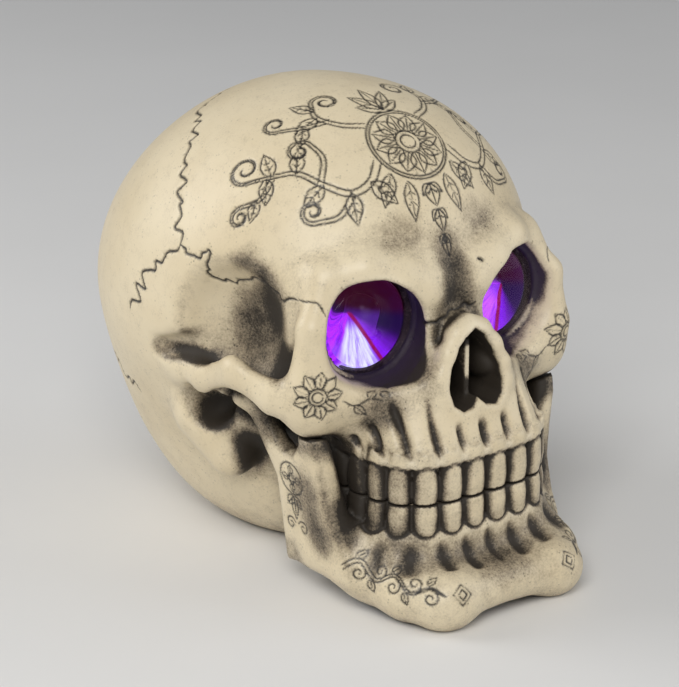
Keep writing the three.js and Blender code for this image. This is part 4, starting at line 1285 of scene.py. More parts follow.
def build_mesh(name: str, points: Array, triangles: Array, numbers: dict[str, Array]) -> Piece:
    """Makes an object from a net.

    Args:
        name: The piece's name.
        points: Its points in millimetres, n rows of 3.
        triangles: Its triangles.
        numbers: Values kept on its points, by name.

    Returns:
        The object, smooth, at the origin.
    """
    mesh = bpy.data.meshes.new(name)
    mesh.vertices.add(len(points))
    places = (points - np.array([0.0, MIDDLE, 0.0])) * MM
    mesh.vertices.foreach_set("co", places.astype(np.float32).ravel())
    mesh.loops.add(triangles.size)
    mesh.loops.foreach_set("vertex_index", triangles.astype(np.int32).ravel())
    mesh.polygons.add(len(triangles))
    mesh.polygons.foreach_set("loop_start", np.arange(0, triangles.size, 3, dtype=np.int32))
    for key, value in numbers.items():
        mesh.attributes.new(key, "FLOAT", "POINT").data.foreach_set("value", value.astype(np.float32))
    mesh.polygons.foreach_set("use_smooth", np.ones(len(triangles), dtype=bool))
    mesh.update(calc_edges=True)
    mesh.validate()
    piece = bpy.data.objects.new(name, mesh)
    bpy.context.scene.collection.objects.link(piece)
    return piece


@dataclass(frozen=True)
class WashAndShadePatch:
    """A place where the wash-and-shade number is raised on both halves, and lowered where its amount is
    negative: extra wash in some places, painted shade in others.
    """

    centre: Point
    radii: Point
    amount: float

    def share(self, p: Array) -> Array:
        """How much of it lies on some folded points."""
        far = np.sqrt(sum(((p[i] - self.centre[i]) / self.radii[i]) ** 2 for i in range(3)))
        return self.amount * (1.0 - ease(far, 0.2, 1.0))


@dataclass
class Casting:
    """What both resin castings share: drawing the net, cutting the lines, and darkening the hollows with wash
    and painted shade.
    """

    teeth: ToothRow
    company: Form
    lines: Engraving = field(default_factory=Engraving)
    line_edge: float = 0.52
    line_border: float = 0.3
    line_growth: float = 2.1
    rub_deep: float = 2.2
    # Painted shade: how dark the faces inside the hollow casting are made.
    inside_shade: float = 0.9
    wash_and_shade_patches: tuple[WashAndShadePatch, ...] = ()
    # Darkening in hollows as (reach, share) pairs: partly the wash, partly painted shade.
    hollows: ClassVar[tuple[Span, ...]] = ((1.6, 0.42), (4.0, 0.38), (9.0, 0.4), (17.0, 0.3))

    def carve(self, p: Array) -> tuple[Array, Array]:
        """Depth of the hollows between the roots at some points, and how dark each is."""
        raise NotImplementedError

    def painted_lamp_light(self, p: Array) -> Array:
        """How much painted lamp light goes on some points."""
        return np.zeros(p.shape[1])

    def stains_and_painted_light(self, p: Array, n: Array) -> dict[str, Array]:
        """Wash and painted shade in the hollows, and rubbing on the edges.

        Args:
            p: Points as 3 rows.
            n: Their outward normals.

        Returns:
            The wash-and-shade, rub and dust numbers.
        """
        wash_and_shade = np.zeros(p.shape[1])
        # Darker where the bone closes in round a point: the wash, with painted shade in the same hollows.
        for reach, share in self.hollows:
            open_share = np.clip(1.0 - self.company(p + n * reach) / reach, 0.0, 1.15)
            wash_and_shade += share * open_share**1.35
        folded = np.stack([np.abs(p[0]), p[1], p[2]])
        for wash_and_shade_patch in self.wash_and_shade_patches:
            wash_and_shade += wash_and_shade_patch.share(folded)
        rub = np.clip(1.0 + self.company(p - n * self.rub_deep) / self.rub_deep, 0.0, 1.0)
        return {"wash_and_shade": wash_and_shade, "rub": rub, "dust": np.clip(0.1 + wash_and_shade * 1.1, 0.0, 1.0)}

    def groove_depth(self, p: Array, stains_and_painted_light: dict[str, Array]) -> Array:
        """Depth of the engraved lines, and their ink.

        Args:
            p: Points as 3 rows.
            stains_and_painted_light: Gets the ink number, and dust near the lines.

        Returns:
            How deep each point is pushed in.
        """
        far, index = self.lines.nearest(p)
        half = self.lines.half[index]
        stains_and_painted_light["ink"] = 1.0 - ease(far, 0.35 * half, 1.7 * half)
        stains_and_painted_light["dust"] = np.maximum(stains_and_painted_light["dust"], 0.5 * (1.0 - ease(far, 0.5, 4.0)))
        return self.lines.deep[index] * (1.0 - ease(far, 0.0, 1.5 * half))

    def draw(
        self, name: str, solid: Form, outer: Form, axes: tuple[Array, Array, Array], size: Form
    ) -> Piece:
        """Draws, carves and stains one casting, and paints shade and lamp light on it.

        Args:
            name: The piece's name.
            solid: The whole form, with its rooms.
            outer: The outside alone, for normals and stains.
            axes: Grid lines of the first net.
            size: Wanted edge length without the lines.

        Returns:
            The piece.
        """
        self.lines.close()

        def wanted(p: Array) -> Array:
            """Edge length, finer along the lines."""
            far, _ = self.lines.nearest(p)
            fine = np.maximum(self.line_edge, (far - self.line_border) * self.line_growth)
            return np.minimum(size(p), fine)

        net = Net.over(solid, axes)
        net.refine(solid, wanted, passes=5)
        p = net.points.T.copy()
        n = outward(outer, p)
        shell = outer(p) > -1.0
        stains_and_painted_light = self.stains_and_painted_light(p, n)
        push, shade = self.carve(p)
        stains_and_painted_light["wash_and_shade"] += shade
        push = push + self.groove_depth(p, stains_and_painted_light)
        for key in ("ink", "dust"):
            stains_and_painted_light[key] = np.where(shell, stains_and_painted_light[key], 0.0)
        # Faces inside the hollow casting are painted dark as shade.
        stains_and_painted_light["wash_and_shade"] = np.clip(np.where(shell, stains_and_painted_light["wash_and_shade"], self.inside_shade), 0.0, 1.3)
        # Painted violet lamp light on the walls of the eye openings.
        stains_and_painted_light["painted_lamp_light"] = self.painted_lamp_light(p)
        p = p - n * np.where(shell, push, 0.0)
        offset = np.array([0.0, MIDDLE, 0.0])
        low, high = (np.array(corner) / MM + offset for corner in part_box(f"{name}_casting"))
        p = np.clip(p, low[:, None], high[:, None])
        log.info("%s: %d triangles", name, len(net.triangles))
        return build_mesh(name, p.T, net.triangles, stains_and_painted_light)


@dataclass
class Patch:
    """A flat or domed drawing surface laid over a casting."""

    form: Form
    origin: Vector
    normal: Vector
    up: Vector
    radius: float = 0.0
    dome_start: float = 130.0
    flat_start: float = 60.0
    steps: int = 50

    def project(self, drawn: Array) -> tuple[Array, Array]:
        """Casts drawn points onto the form.

        Args:
            drawn: Points across and up, in millimetres.

        Returns:
            Points in space, and which of them lie on the form.
        """
        n = np.array(self.normal.normalized())
        right = np.array(self.up.cross(self.normal).normalized())
        up = np.cross(n, right)
        u, v = drawn[:, :1], drawn[:, 1:]
        if self.radius:
            far = np.maximum(np.hypot(u, v), 1e-6)
            turn = far / self.radius
            aim = np.cos(turn) * n + np.sin(turn) * (u / far * right + v / far * up)
            start = np.array(self.origin) + aim * self.dome_start
        else:
            aim = np.repeat(n[None], len(drawn), 0)
            start = np.array(self.origin) + u * right + v * up + aim * self.flat_start
        p = start.T.copy()
        for _ in range(self.steps):
            p -= aim.T * np.clip(self.form(p), -2.0, 40.0) * 0.7
        return p.T, np.abs(self.form(p)) < 0.2


@dataclass
class Ribbon:
    """A drawing strip that follows a guide line over a casting."""

    form: Form
    guide: Path

    def __post_init__(self) -> None:
        """Lays the guide on the form and measures along it."""
        self.line = self.laid(Motif.curve(self.guide))
        steps = np.linalg.norm(np.diff(self.line, axis=0), axis=1)
        self.run = np.concatenate([[0.0], np.cumsum(steps)])
        way = np.gradient(self.line, axis=0)
        side = np.cross(outward(self.form, self.line.T).T, way)
        self.side = side / np.maximum(np.linalg.norm(side, axis=1), 1e-9)[:, None]

    @property
    def length(self) -> float:
        """Length of the guide."""
        return float(self.run[-1])

    def laid(self, points: Array) -> Array:
        """Points moved onto the form.

        Args:
            points: Points near the form, n rows of 3.

        Returns:
            The points on it.
        """
        p = points.T.copy()
        for _ in range(8):
            p -= outward(self.form, p) * np.clip(self.form(p), -1.5, 1.5)
        return p.T

    def project(self, drawn: Array) -> tuple[Array, Array]:
        """Lays drawn points on the form.

        Args:
            drawn: Points along the guide and across it, in millimetres.

        Returns:
            Points in space, and which of them lie on the form.
        """
        base = np.stack([np.interp(drawn[:, 0], self.run, self.line[:, m]) for m in range(3)], 1)
        side = np.stack([np.interp(drawn[:, 0], self.run, self.side[:, m]) for m in range(3)], 1)
        return self.laid(base + side * drawn[:, 1:]), np.ones(len(drawn), dtype=bool)


class Motif:
    """Plain ornaments, drawn as lines in millimetres across and up."""

    @staticmethod
    def curve(points: Path, step: float = 0.5) -> Line:
        """A smooth line through points.

        Args:
            points: What it runs through.
            step: How far apart its own points are.

        Returns:
            The line.
        """
        p = np.array(points, float)
        p = np.concatenate([[2 * p[0] - p[1]], p, [2 * p[-1] - p[-2]]])
        out = []
        for i in range(1, len(p) - 2):
            count = max(2, int(np.linalg.norm(p[i + 1] - p[i]) / step))
            t = np.linspace(0.0, 1.0, count, endpoint=i == len(p) - 3)[:, None]
            a, b, c, d = p[i - 1:i + 3]
            bend, twist = 2 * a - 5 * b + 4 * c - d, 3 * b - a - 3 * c + d
            out.append(0.5 * (2 * b + (c - a) * t + bend * t**2 + twist * t**3))
        return np.concatenate(out)

    @staticmethod
    def paired(line: Line, half: Array) -> list[Line]:
        """Two lines beside a line.

        Args:
            line: The line between them.
            half: How far each stands off it, point by point.

        Returns:
            Both lines.
        """
        run = np.gradient(line, axis=0)
        side = np.stack([-run[:, 1], run[:, 0]], 1) / np.maximum(np.linalg.norm(run, axis=1), 1e-9)[:, None]
        return [line + side * half[:, None], line - side * half[:, None]]

    @staticmethod
    def stem(points: Path, wide: float) -> list[Line]:
        """A pair of lines that draw together at the far end."""
        line = Motif.curve(points)
        return Motif.paired(line, wide / 2 * np.linspace(1.0, 0.25, len(line)))

    @staticmethod
    def tendril(points: Path, wide: float, radius: float, turns: float) -> list[Line]:
        """A pair of lines that runs along points and curls up at the end, drawing together.

        Args:
            points: What it runs through.
            wide: How far apart the lines start.
            radius: Size of the curl.
            turns: How often it winds, to the left if positive.

        Returns:
            Both lines.
        """
        line = Motif.curve(points)
        way = line[-1] - line[-2]
        side = np.array([-way[1], way[0]]) / np.linalg.norm(way) * math.copysign(1.0, turns)
        centre = line[-1] + side * radius
        curl = Motif.volute(centre, radius, math.degrees(math.atan2(-side[1], -side[0])), turns)
        line = np.concatenate([line, curl[1:]])
        return Motif.paired(line, wide / 2 * np.linspace(1.0, 0.0, len(line)) ** 0.8)

    @staticmethod
    def volute(centre: Sequence[float], radius: float, start: float, turns: float) -> Line:
        """A spiral that winds in from its radius.

        Args:
            centre: Its middle.
            radius: Its outer size.
            start: Where it starts, in degrees.
            turns: How often it winds, to the left if positive.

        Returns:
            The line.
        """
        t = np.linspace(0.0, 1.0, int(24 * abs(turns)) + 8)
        a = math.radians(start) + 2 * math.pi * turns * t
        r = radius * (1.0 - 0.82 * t)
        return np.stack([centre[0] + r * np.cos(a), centre[1] + r * np.sin(a)], 1)

    @staticmethod
    def ring(centre: Sequence[float], radius: float) -> Line:
        """A circle."""
        a = np.linspace(0.0, 2 * math.pi, 40)
        return np.stack([centre[0] + radius * np.cos(a), centre[1] + radius * np.sin(a)], 1)

    @staticmethod
    def leaf(base: Sequence[float], angle: float, length: float, wide: float, veins: int = 2) -> list[Line]:
        """A pointed leaf with a rib and veins.

        Args:
            base: Its foot.
            angle: Which way it points, in degrees.
            length: From foot to tip.
            wide: Its width.
            veins: How many pairs of veins it has.

        Returns:
            Its lines.
        """
        t = np.linspace(0.0, 1.0, 22)
        belly = wide / 2 * np.sin(math.pi * t**0.8) ** 1.1
        sides = [np.stack([length * t, belly], 1), np.stack([length * t, -belly], 1)]
        sides.append(np.array([[0.0, 0.0], [length * 0.86, 0.0]]))
        for i in range(veins):
            root = length * (0.25 + 0.25 * i)
            for sign in (1.0, -1.0):
                sides.append(np.array([[root, 0.0], [root + wide * 0.3, sign * wide * 0.3]]))
        c, s = math.cos(math.radians(angle)), math.sin(math.radians(angle))
        turn = np.array([[c, s], [-s, c]])
        return [side @ turn + np.array(base) for side in sides]

    @staticmethod
    def fan(
        base: Sequence[float], angle: float, spread: float, count: int, length: float, wide: float
    ) -> list[Line]:
        """Leaves spread from one foot, longest in the middle.

        Args:
            base: Their foot.
            angle: Which way the middle one points, in degrees.
            spread: How far the outer ones turn from it.
            count: How many there are.
            length: Length of the middle one.
            wide: Width of each.

        Returns:
            Their lines.
        """
        made = []
        for i in range(count):
            off = 2.0 * i / (count - 1) - 1.0
            made += Motif.leaf(base, angle + off * spread, length * (1.0 - 0.38 * off * off), wide, 0)
        return made

    @staticmethod
    def flower(centre: Sequence[float], radius: float, petals: int) -> list[Line]:
        """A ring of round petals about a ringed eye.

        Args:
            centre: Its middle.
            radius: Its size.
            petals: How many petals it has.

        Returns:
            Its lines.
        """
        made = [Motif.ring(centre, radius * 0.22), Motif.ring(centre, radius * 0.36)]
        for i in range(petals):
            a = 360.0 * i / petals
            c, s = math.cos(math.radians(a)), math.sin(math.radians(a))
            base = (centre[0] + radius * 0.36 * c, centre[1] + radius * 0.36 * s)
            made += Motif.leaf(base, a, radius * 0.66, radius * 0.5, 0)
        return made

    @staticmethod
    def zigzag(length: float, reach: float, pitch: float, rng: np.random.Generator) -> Line:
        """A jagged seam along a ribbon.

        Args:
            length: How far it runs.
            reach: How far it strays.
            pitch: Length of one stray.
            rng: Where its unevenness comes from.

        Returns:
            Points along and across.
        """
        count = max(4, int(length / pitch * 2))
        along = np.linspace(0.0, length, count)
        along[1:-1] += rng.uniform(-0.3, 0.3, count - 2) * pitch
        stray = np.where(np.arange(count) % 2, 1.0, -1.0) * reach * rng.uniform(0.15, 1.0, count)
        stray[[0, -1]] = 0.0
        bent = Motif.curve(np.stack([along, stray], 1), 0.3)
        return bent + rng.normal(0.0, 0.07, bent.shape)


@dataclass
class Cranium(Casting):
    """The cranium casting: sutures, engraved scrolls and roots."""

    form: CraniumForm | None = None
    flute_deep: float = 2.1
    # Extra darkening by place: wash with painted shade in the temples, brow, cheeks and beside the nose;
    # painted shadow in the slot above the arch, the ear hollow and the gap before the mastoid; darker towards
    # the base; the patch above the back of the arch is made lighter.
    wash_and_shade_patches: tuple[WashAndShadePatch, ...] = (
        WashAndShadePatch((46, -27, 90), (9, 10, 18), 0.8),
        WashAndShadePatch((51, -23, 102), (8, 10, 9), 0.45),
        WashAndShadePatch((45, -33, 73), (9, 10, 10), 0.8),
        WashAndShadePatch((45, -18, 84), (9, 14, 17), 0.58),
        WashAndShadePatch((56, -3, 70.5), (6, 18, 3.2), 0.85),
        WashAndShadePatch((60, 8, 75.5), (7, 12, 6), -0.45),
        WashAndShadePatch((48, -3, 50.5), (9, 9, 9), 0.95),
        WashAndShadePatch((42, -10, 38), (9, 10, 13), 0.85),
        WashAndShadePatch((0, -55, 97), (10, 8, 12), 0.62),
        WashAndShadePatch((0, -51, 107), (9, 9, 11), 0.38),
        WashAndShadePatch((14, -48, 112), (12, 9, 10), 0.28),
        WashAndShadePatch((26, -56, 62), (16, 10, 10), 0.5),
        WashAndShadePatch((15, -61, 69), (7, 8, 13), 0.36),
        WashAndShadePatch((0, 20, 0), (60, 80, 24), 0.3),
    )
    face_edge: float = 1.5
    back_edge: float = 3.6
    hollow_edge: float = 6.0
    rim_edge: float = 0.9
    tooth_edge: float = 0.72
    root_edge: float = 1.05

    def carve(self, p: Array) -> tuple[Array, Array]:
        """Hollows between the upper roots, and painted shade inside the eyes and the nose.

        Args:
            p: Points as 3 rows.

        Returns:
            How far each point is pushed in, and how dark it is.
        """
        q = self.form.fold(p)
        push, shade = self.teeth.relief(q, 1, self.flute_deep)
        # Faces inside the eye openings and the nose are painted dark as shade.
        inside = ease(-self.form.face(q), 0.5, 2.0) * (self.form.bone(p) > -1.0)
        return push, shade + 1.2 * inside

    def painted_lamp_light(self, p: Array) -> Array:
        """Painted lamp light on the walls of the eye openings: a violet emission, stronger towards the lens.

        Args:
            p: Points as 3 rows.

        Returns:
            How much painted light goes on each point.
        """
        q = self.form.fold(p)
        wall = 1.0 - ease(self.form.socket(q), 0.3, 2.0)
        return wall * ease(q[1], self.form.rim_y - 2.0, self.form.lamp.back)

    def size(self, p: Array) -> Array:
        """Edge lengths wanted over the casting.

        Args:
            p: Points as 3 rows.

        Returns:
            The length at each point.
        """
        q = self.form.fold(p)
        x, y, z = q
        edge = np.where(y < -28.0, self.face_edge, self.back_edge)
        edge = np.where((self.form.vault(q) < -6.0) & (x < 34.0) & (y > -25.0), self.hollow_edge, edge)
        nose = (x < 14.0) & (y < -54.0) & (z > 57.0) & (z < 87.0)
        rims = (np.abs(self.form.socket(q)) < 2.2) & (y < -40.0)
        edge = np.where(nose | rims, self.rim_edge, edge)
        row = np.abs(self.teeth.distance(x, y))
        edge = np.where((row < 8.0) & (z < 50.0) & (y < -32.0), self.tooth_edge, edge)
        roots = (row < 12.0) & (z >= 50.0) & (z < 72.0) & (y < -36.0)
        return np.where(roots, np.minimum(edge, self.root_edge), edge)

    def build(self) -> Piece:
        """Draws the casting."""
        axes = (
            spaced((-66, -30, 2.2), (-30, -4, 1.5), (-4, 4, 0.9), (4, 30, 1.5), (30, 66, 2.2)),
            spaced((-80, -30, 1.5), (-30, 0, 2.2), (0, 96, 3.4)),
            spaced((-4, 30, 2.4), (30, 108, 1.5), (108, 150, 3.4)),
        )
        piece = self.draw("cranium", self.form.solid, self.form.outer, axes, self.size)
        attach(piece, BODY)
        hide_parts("cranium_casting")
        return piece


@dataclass
class Jaw(Casting):
    """The jaw casting: roots, chin and engraved band."""

    form: JawForm | None = None
    flute_deep: float = 1.2
    # Extra darkening by place: wash with painted shade on the chin and across the upright; painted shadow
    # under the cheekbone and arch at the top of the upright; darker towards the base along the jaw's lower
    # body.
    wash_and_shade_patches: tuple[WashAndShadePatch, ...] = (
        WashAndShadePatch((0, -82, 16), (14, 9, 9), 0.3),
        WashAndShadePatch((28, -66, 22), (12, 12, 9), 0.22),
        WashAndShadePatch((0, -60, 0), (60, 50, 7), 0.35),
        WashAndShadePatch((46, -21, 50), (8, 8, 12), 0.45),
        WashAndShadePatch((43, -42, 34), (8, 13, 18), 0.5),
        WashAndShadePatch((42, -46, 21), (8, 10, 9), 0.5),
        WashAndShadePatch((38, -52, 29), (6, 9, 14), 0.6),
        WashAndShadePatch((40, -30, 12), (7, 10, 9), 0.3),
        WashAndShadePatch((41, -44, 52), (10, 13, 7), 0.9),
        WashAndShadePatch((0, -72, 12), (60, 40, 18), 0.16),
    )
    plain_edge: float = 1.6
    tooth_edge: float = 0.62
    root_edge: float = 1.0

    def carve(self, p: Array) -> tuple[Array, Array]:
        """Hollows between the lower roots."""
        return self.teeth.relief(self.form.cranium.fold(p), -1, self.flute_deep)

    def size(self, p: Array) -> Array:
        """Edge lengths wanted over the casting.

        Args:
            p: Points as 3 rows.

        Returns:
            The length at each point.
        """
        x, y, z = self.form.cranium.fold(p)
        row = np.abs(self.teeth.distance(x, y))
        edge = np.where((row < 8.0) & (z > 24.0) & (y < -32.0) & (z < 36.0), self.tooth_edge, self.plain_edge)
        roots = (y < -40.0) & (z > 8.0) & (z <= 24.0) & (row < 26.0)
        return np.where(roots, np.minimum(edge, self.root_edge), edge)

    def build(self) -> Piece:
        """Draws the casting."""
        axes = (
            spaced((-58, -24, 1.4), (-24, 24, 1.6), (24, 58, 1.4)),
            spaced((-96, -60, 1.5), (-60, -8, 1.4)),
            spaced((-4, 70, 1.4)),
        )
        piece = self.draw("jaw", self.form.solid, self.form.outer, axes, self.size)
        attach(piece, BODY)
        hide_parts("jaw_casting")
        return piece


@dataclass
class Ornament:
    """Seams and engraved bands, drawn on both castings."""

    cranium: Cranium
    jaw: Jaw
    seam_half: float = 0.42
    seam_deep: float = 0.6
    fine_half: float = 0.3
    fine_deep: float = 0.35
    seed: int = 11
    rosette: float = 11.0
    roundel: float = 7.4
    star: float = 4.6
    sutures: ClassVar[tuple[tuple[tuple[Point, ...], float, float], ...]] = (
        (
            ((6, 42, 137), (25, 36, 134), (38, 24, 129.5), (47, 16, 122), (53, 9, 114), (57.8, 2.4, 104)),
            2.3, 5.6,
        ),
        (((57.8, 2.4, 104), (59.6, 8, 99), (61, 14, 93.6), (62, 24, 79)), 3.4, 5.4),
        (
            ((57.8, 2.4, 104), (57.6, -5, 102), (56, -9.6, 105), (53.5, -7.7, 96.5), (48.6, -13, 93.5)),
            0.9, 4.0,
        ),
        (((48.6, -13, 93.5), (48.6, -24, 96.8), (47.5, -31, 93.8), (45, -38.5, 95.3)), 1.7, 5.0),
        (((45, -38.5, 95.3), (43.3, -47, 95.8), (42.2, -49, 92.5)), 0.4, 4.0),
        (((1, 88, 84), (17, 83.5, 79), (32, 74, 71), (44, 61, 60), (52, 46, 50), (54, 34, 46)), 2.6, 5.4),
    )
    crest: ClassVar[tuple[Point, ...]] = ((0, 44, 138), (1, 66, 125), (0, 82, 102), (0, 88, 84))
    crack: ClassVar[tuple[Point, ...]] = ((-9, -52.6, 84.6), (0, -54, 87), (7, -53.5, 89))
    pit: ClassVar[tuple[Point, ...]] = ((9.0, -55.8, 102.0), (10.0, -55.6, 100.8))
    spray: ClassVar[tuple[Point, ...]] = ((39, -52.5, 66), (34, -54, 65.5), (27, -55.5, 65.5), (20, -57, 66))
    band: ClassVar[tuple[Point, ...]] = (
        (40.0, -54.0, 17.0), (36.5, -62.0, 15.5), (31.5, -72.0, 13.0), (25.0, -82.0, 11.5),
        (12.0, -86.0, 11.0), (2.0, -86.0, 11.0),
    )

    def draw(
        self, casting: Casting, chart: "Patch | Ribbon", lines: Sequence[Line], half: float, deep: float
    ) -> None:
        """Cuts drawn lines into a casting.

        Args:
            casting: What is cut.
            chart: Lays the drawing on the casting.
            lines: The drawing.
            half: Half the width of a line.
            deep: Depth of a line.
        """
        points, held = chart.project(np.concatenate(lines).astype(float))
        ends = np.cumsum([len(line) for line in lines])[:-1]
        for line, on in zip(np.split(points, ends), np.split(held, ends)):
            if on.sum() > 1:
                casting.lines.add(line[on], half, deep)

    def engrave(self, casting: Casting, chart: "Patch | Ribbon", lines: Sequence[Line]) -> None:
        """Cuts drawn lines into a casting as fine as the ornament is."""
        self.draw(casting, chart, lines, self.fine_half, self.fine_deep)

    @staticmethod
    def strip(casting: Casting, guide: Sequence[Point], side: Side = Side.LEFT) -> Ribbon:
        """A ribbon along a guide of the +x half, on one side of a casting."""
        return Ribbon(casting.form.outer, [(x * side.value, y, z) for x, y, z in guide])

    def seams(self) -> None:
        """Sutures of the vault and the temples, the crack over the nose and a pit in the brow."""
        rng = np.random.default_rng(self.seed)
        for side in Side:
            for guide, reach, pitch in self.sutures:
                ribbon = self.strip(self.cranium, guide, side)
                thin = 0.62 if reach < 0.5 else 1.0
                seam = Motif.zigzag(ribbon.length, reach, pitch, rng)
                self.draw(self.cranium, ribbon, [seam], self.seam_half * thin, self.seam_deep * thin)
        crest = self.strip(self.cranium, self.crest)
        seam = Motif.zigzag(crest.length, 2.4, 5.6, rng)
        self.draw(self.cranium, crest, [seam], self.seam_half, self.seam_deep)
        crack = self.strip(self.cranium, self.crack)
        self.draw(self.cranium, crack, [Motif.zigzag(crack.length, 1.0, 4.2, rng)], 0.5, 0.8)
        dent = np.array([(0.0, 0.0), (0.4, 0.0), (0.9, 0.2), (1.5, 0.0)])
        self.draw(self.cranium, self.strip(self.cranium, self.pit), [dent], 0.9, 0.9)

    def forehead(self) -> None:
        """A ringed rosette over the brow, with scrolled stems to both sides and a drop of husks."""
        facing, up = Vector((0, -0.59, 0.807)), Vector((0, 0, 1))
        patch = Patch(self.cranium.form.outer, Vector((0, 5, 82)), facing, up, radius=64.0)
        middle = (0.0, 0.0)
        lines = Motif.flower(middle, self.rosette, 12)
        lines += [Motif.ring(middle, self.rosette + 0.9), Motif.ring(middle, self.rosette + 1.9)]
        for i in range(3):
            foot = (0.0, -14.5 - 8.0 * i)
            lines += Motif.leaf(foot, -90.0, 7.4, 5.0 - 0.9 * i, 1)
            lines += Motif.fan(foot, -90.0, 48.0 - 8.0 * i, 2, 8.2 - i, 2.6)
        lines += Motif.fan((0.0, 14.0), 90.0, 64.0, 5, 13.0, 4.0)
        vines = (
            ([(12.8, -3.5), (18, -9), (25, -10), (31, -4), (36, 4), (43, 8), (50, 12)], 2.4, 5.4, 1.4),
            ([(24, -10.2), (31, -15), (38.5, -13.5)], 1.8, 3.8, 1.35),
            ([(31.5, -3), (27, 4), (27.5, 11)], 1.7, 4.0, -1.35),
            ([(42, 7.5), (49, 3.5), (56, 6.0)], 1.6, 3.4, -1.3),
            ([(9.5, 9.2), (16, 13), (20, 20), (17.5, 27)], 1.9, 4.4, 1.4),
            ([(17.5, 16), (25, 18), (33, 23)], 1.6, 3.8, 1.3),
        )
        leaves = (
            (18, -9, -120, 10.5, 5.2), (25, -10, -78, 10, 5), (31, -4, -22, 9.5, 4.8), (36, 4, 122, 8.5, 4.4),
            (42.5, 8, 104, 9.5, 4.8), (44, 8.5, -60, 9.5, 4.6), (20, 19.5, -12, 9, 4.6),
            (25.5, 18.2, -52, 8, 4.2), (6.8, -12.4, -80, 12.5, 4.6), (11, -8.6, -56, 11.5, 4.6),
            (19, 23, 62, 8.5, 4.2), (50, 4, -44, 7.5, 3.8),
        )
        half = []
        for points, wide, radius, turns in vines:
            half += Motif.tendril(points, wide, radius, turns)
        for x, y, angle, length, wide in leaves:
            half += Motif.leaf((x, y), angle, length, wide)
        for side in Side:
            lines += [line * np.array([side.value, 1.0]) for line in half]
        self.engrave(self.cranium, patch, lines)

    def cheeks(self) -> None:
        """A many-petalled round on each cheek bone, and a curled spray under the eye."""
        stem = Motif.curve([(0.0, -1.0), (4.0, 0.8), (9.0, -0.8), (13.0, 0.6)])
        lines = [stem, Motif.volute((13.4, -1.4), 2.0, 90.0, -1.2)]
        lines += Motif.leaf((4.0, 0.8), 48.0, 5.0, 2.6, 0) + Motif.leaf((8.5, -0.8), -48.0, 5.0, 2.6, 0)
        for side in Side:
            flip = float(side.value)
            facing, up = Vector((flip * 0.55, -0.83, 0.05)), Vector((0, 0, 1))
            patch = Patch(self.cranium.form.outer, Vector((flip * 45.5, -49.0, 69.5)), facing, up)
            self.engrave(self.cranium, patch, Motif.flower((0.0, 0.0), self.roundel, 9))
            spray = self.strip(self.cranium, self.spray, side)
            turned = [line * np.array([1.0, flip]) for line in lines]
            self.draw(self.cranium, spray, turned, self.fine_half * 0.9, self.fine_deep)

    def jaw_bands(self) -> None:
        """A running wave along the jaw, a lozenge at its end and a star on each upright."""
        wave = [(1.0, 1.5), (6.0, -2.0), (12.0, 1.6), (18.0, -2.0), (24.0, 1.6), (30.0, -1.6), (35.0, 0.5)]
        lines = Motif.stem(wave, 1.5)
        for i in range(5):
            u, up = 6.0 + 6.0 * i, 1.0 if i % 2 else -1.0
            lines.append(Motif.volute((u + 0.6, up * -1.6), 2.5, 90.0 * up, -1.35 * up))
            lines += Motif.leaf((u - 1.5, up * 2.2), 60.0 * up, 4.6, 2.4, 0)
        lines.append(np.array([(37.0, 0.0), (40.0, 3.4), (43.0, 0.0), (40.0, -3.4), (37.0, 0.0)]))
        lines.append(np.array([(38.6, 0.0), (40.0, 1.7), (41.4, 0.0), (40.0, -1.7), (38.6, 0.0)]))
        middle = (0.0, 2.0)
        star = Motif.flower(middle, self.star, 4) + [Motif.ring(middle, self.star + 0.7)]
        star += Motif.fan((0.0, -4.0), -90.0, 46.0, 3, 8.0, 3.0)
        for x, start, turns in ((-3.0, 20.0, 1.3), (3.0, 160.0, -1.3)):
            star.append(Motif.volute((x, -14.0), 2.4, start, turns))
        for side in Side:
            flip = float(side.value)
            band = self.strip(self.jaw, self.band, side)
            self.engrave(self.jaw, band, [line * np.array([1.0, flip]) for line in lines])
            facing, up = Vector((flip, -0.15, 0)), Vector((0, 0, 1))
            upright = Patch(self.jaw.form.outer, Vector((flip * 43.0, -34.5, 36.0)), facing, up)
            self.engrave(self.jaw, upright, star)

    def build(self) -> None:
        """Draws everything."""
        self.seams()
        self.forehead()
        self.cheeks()
        self.jaw_bands()


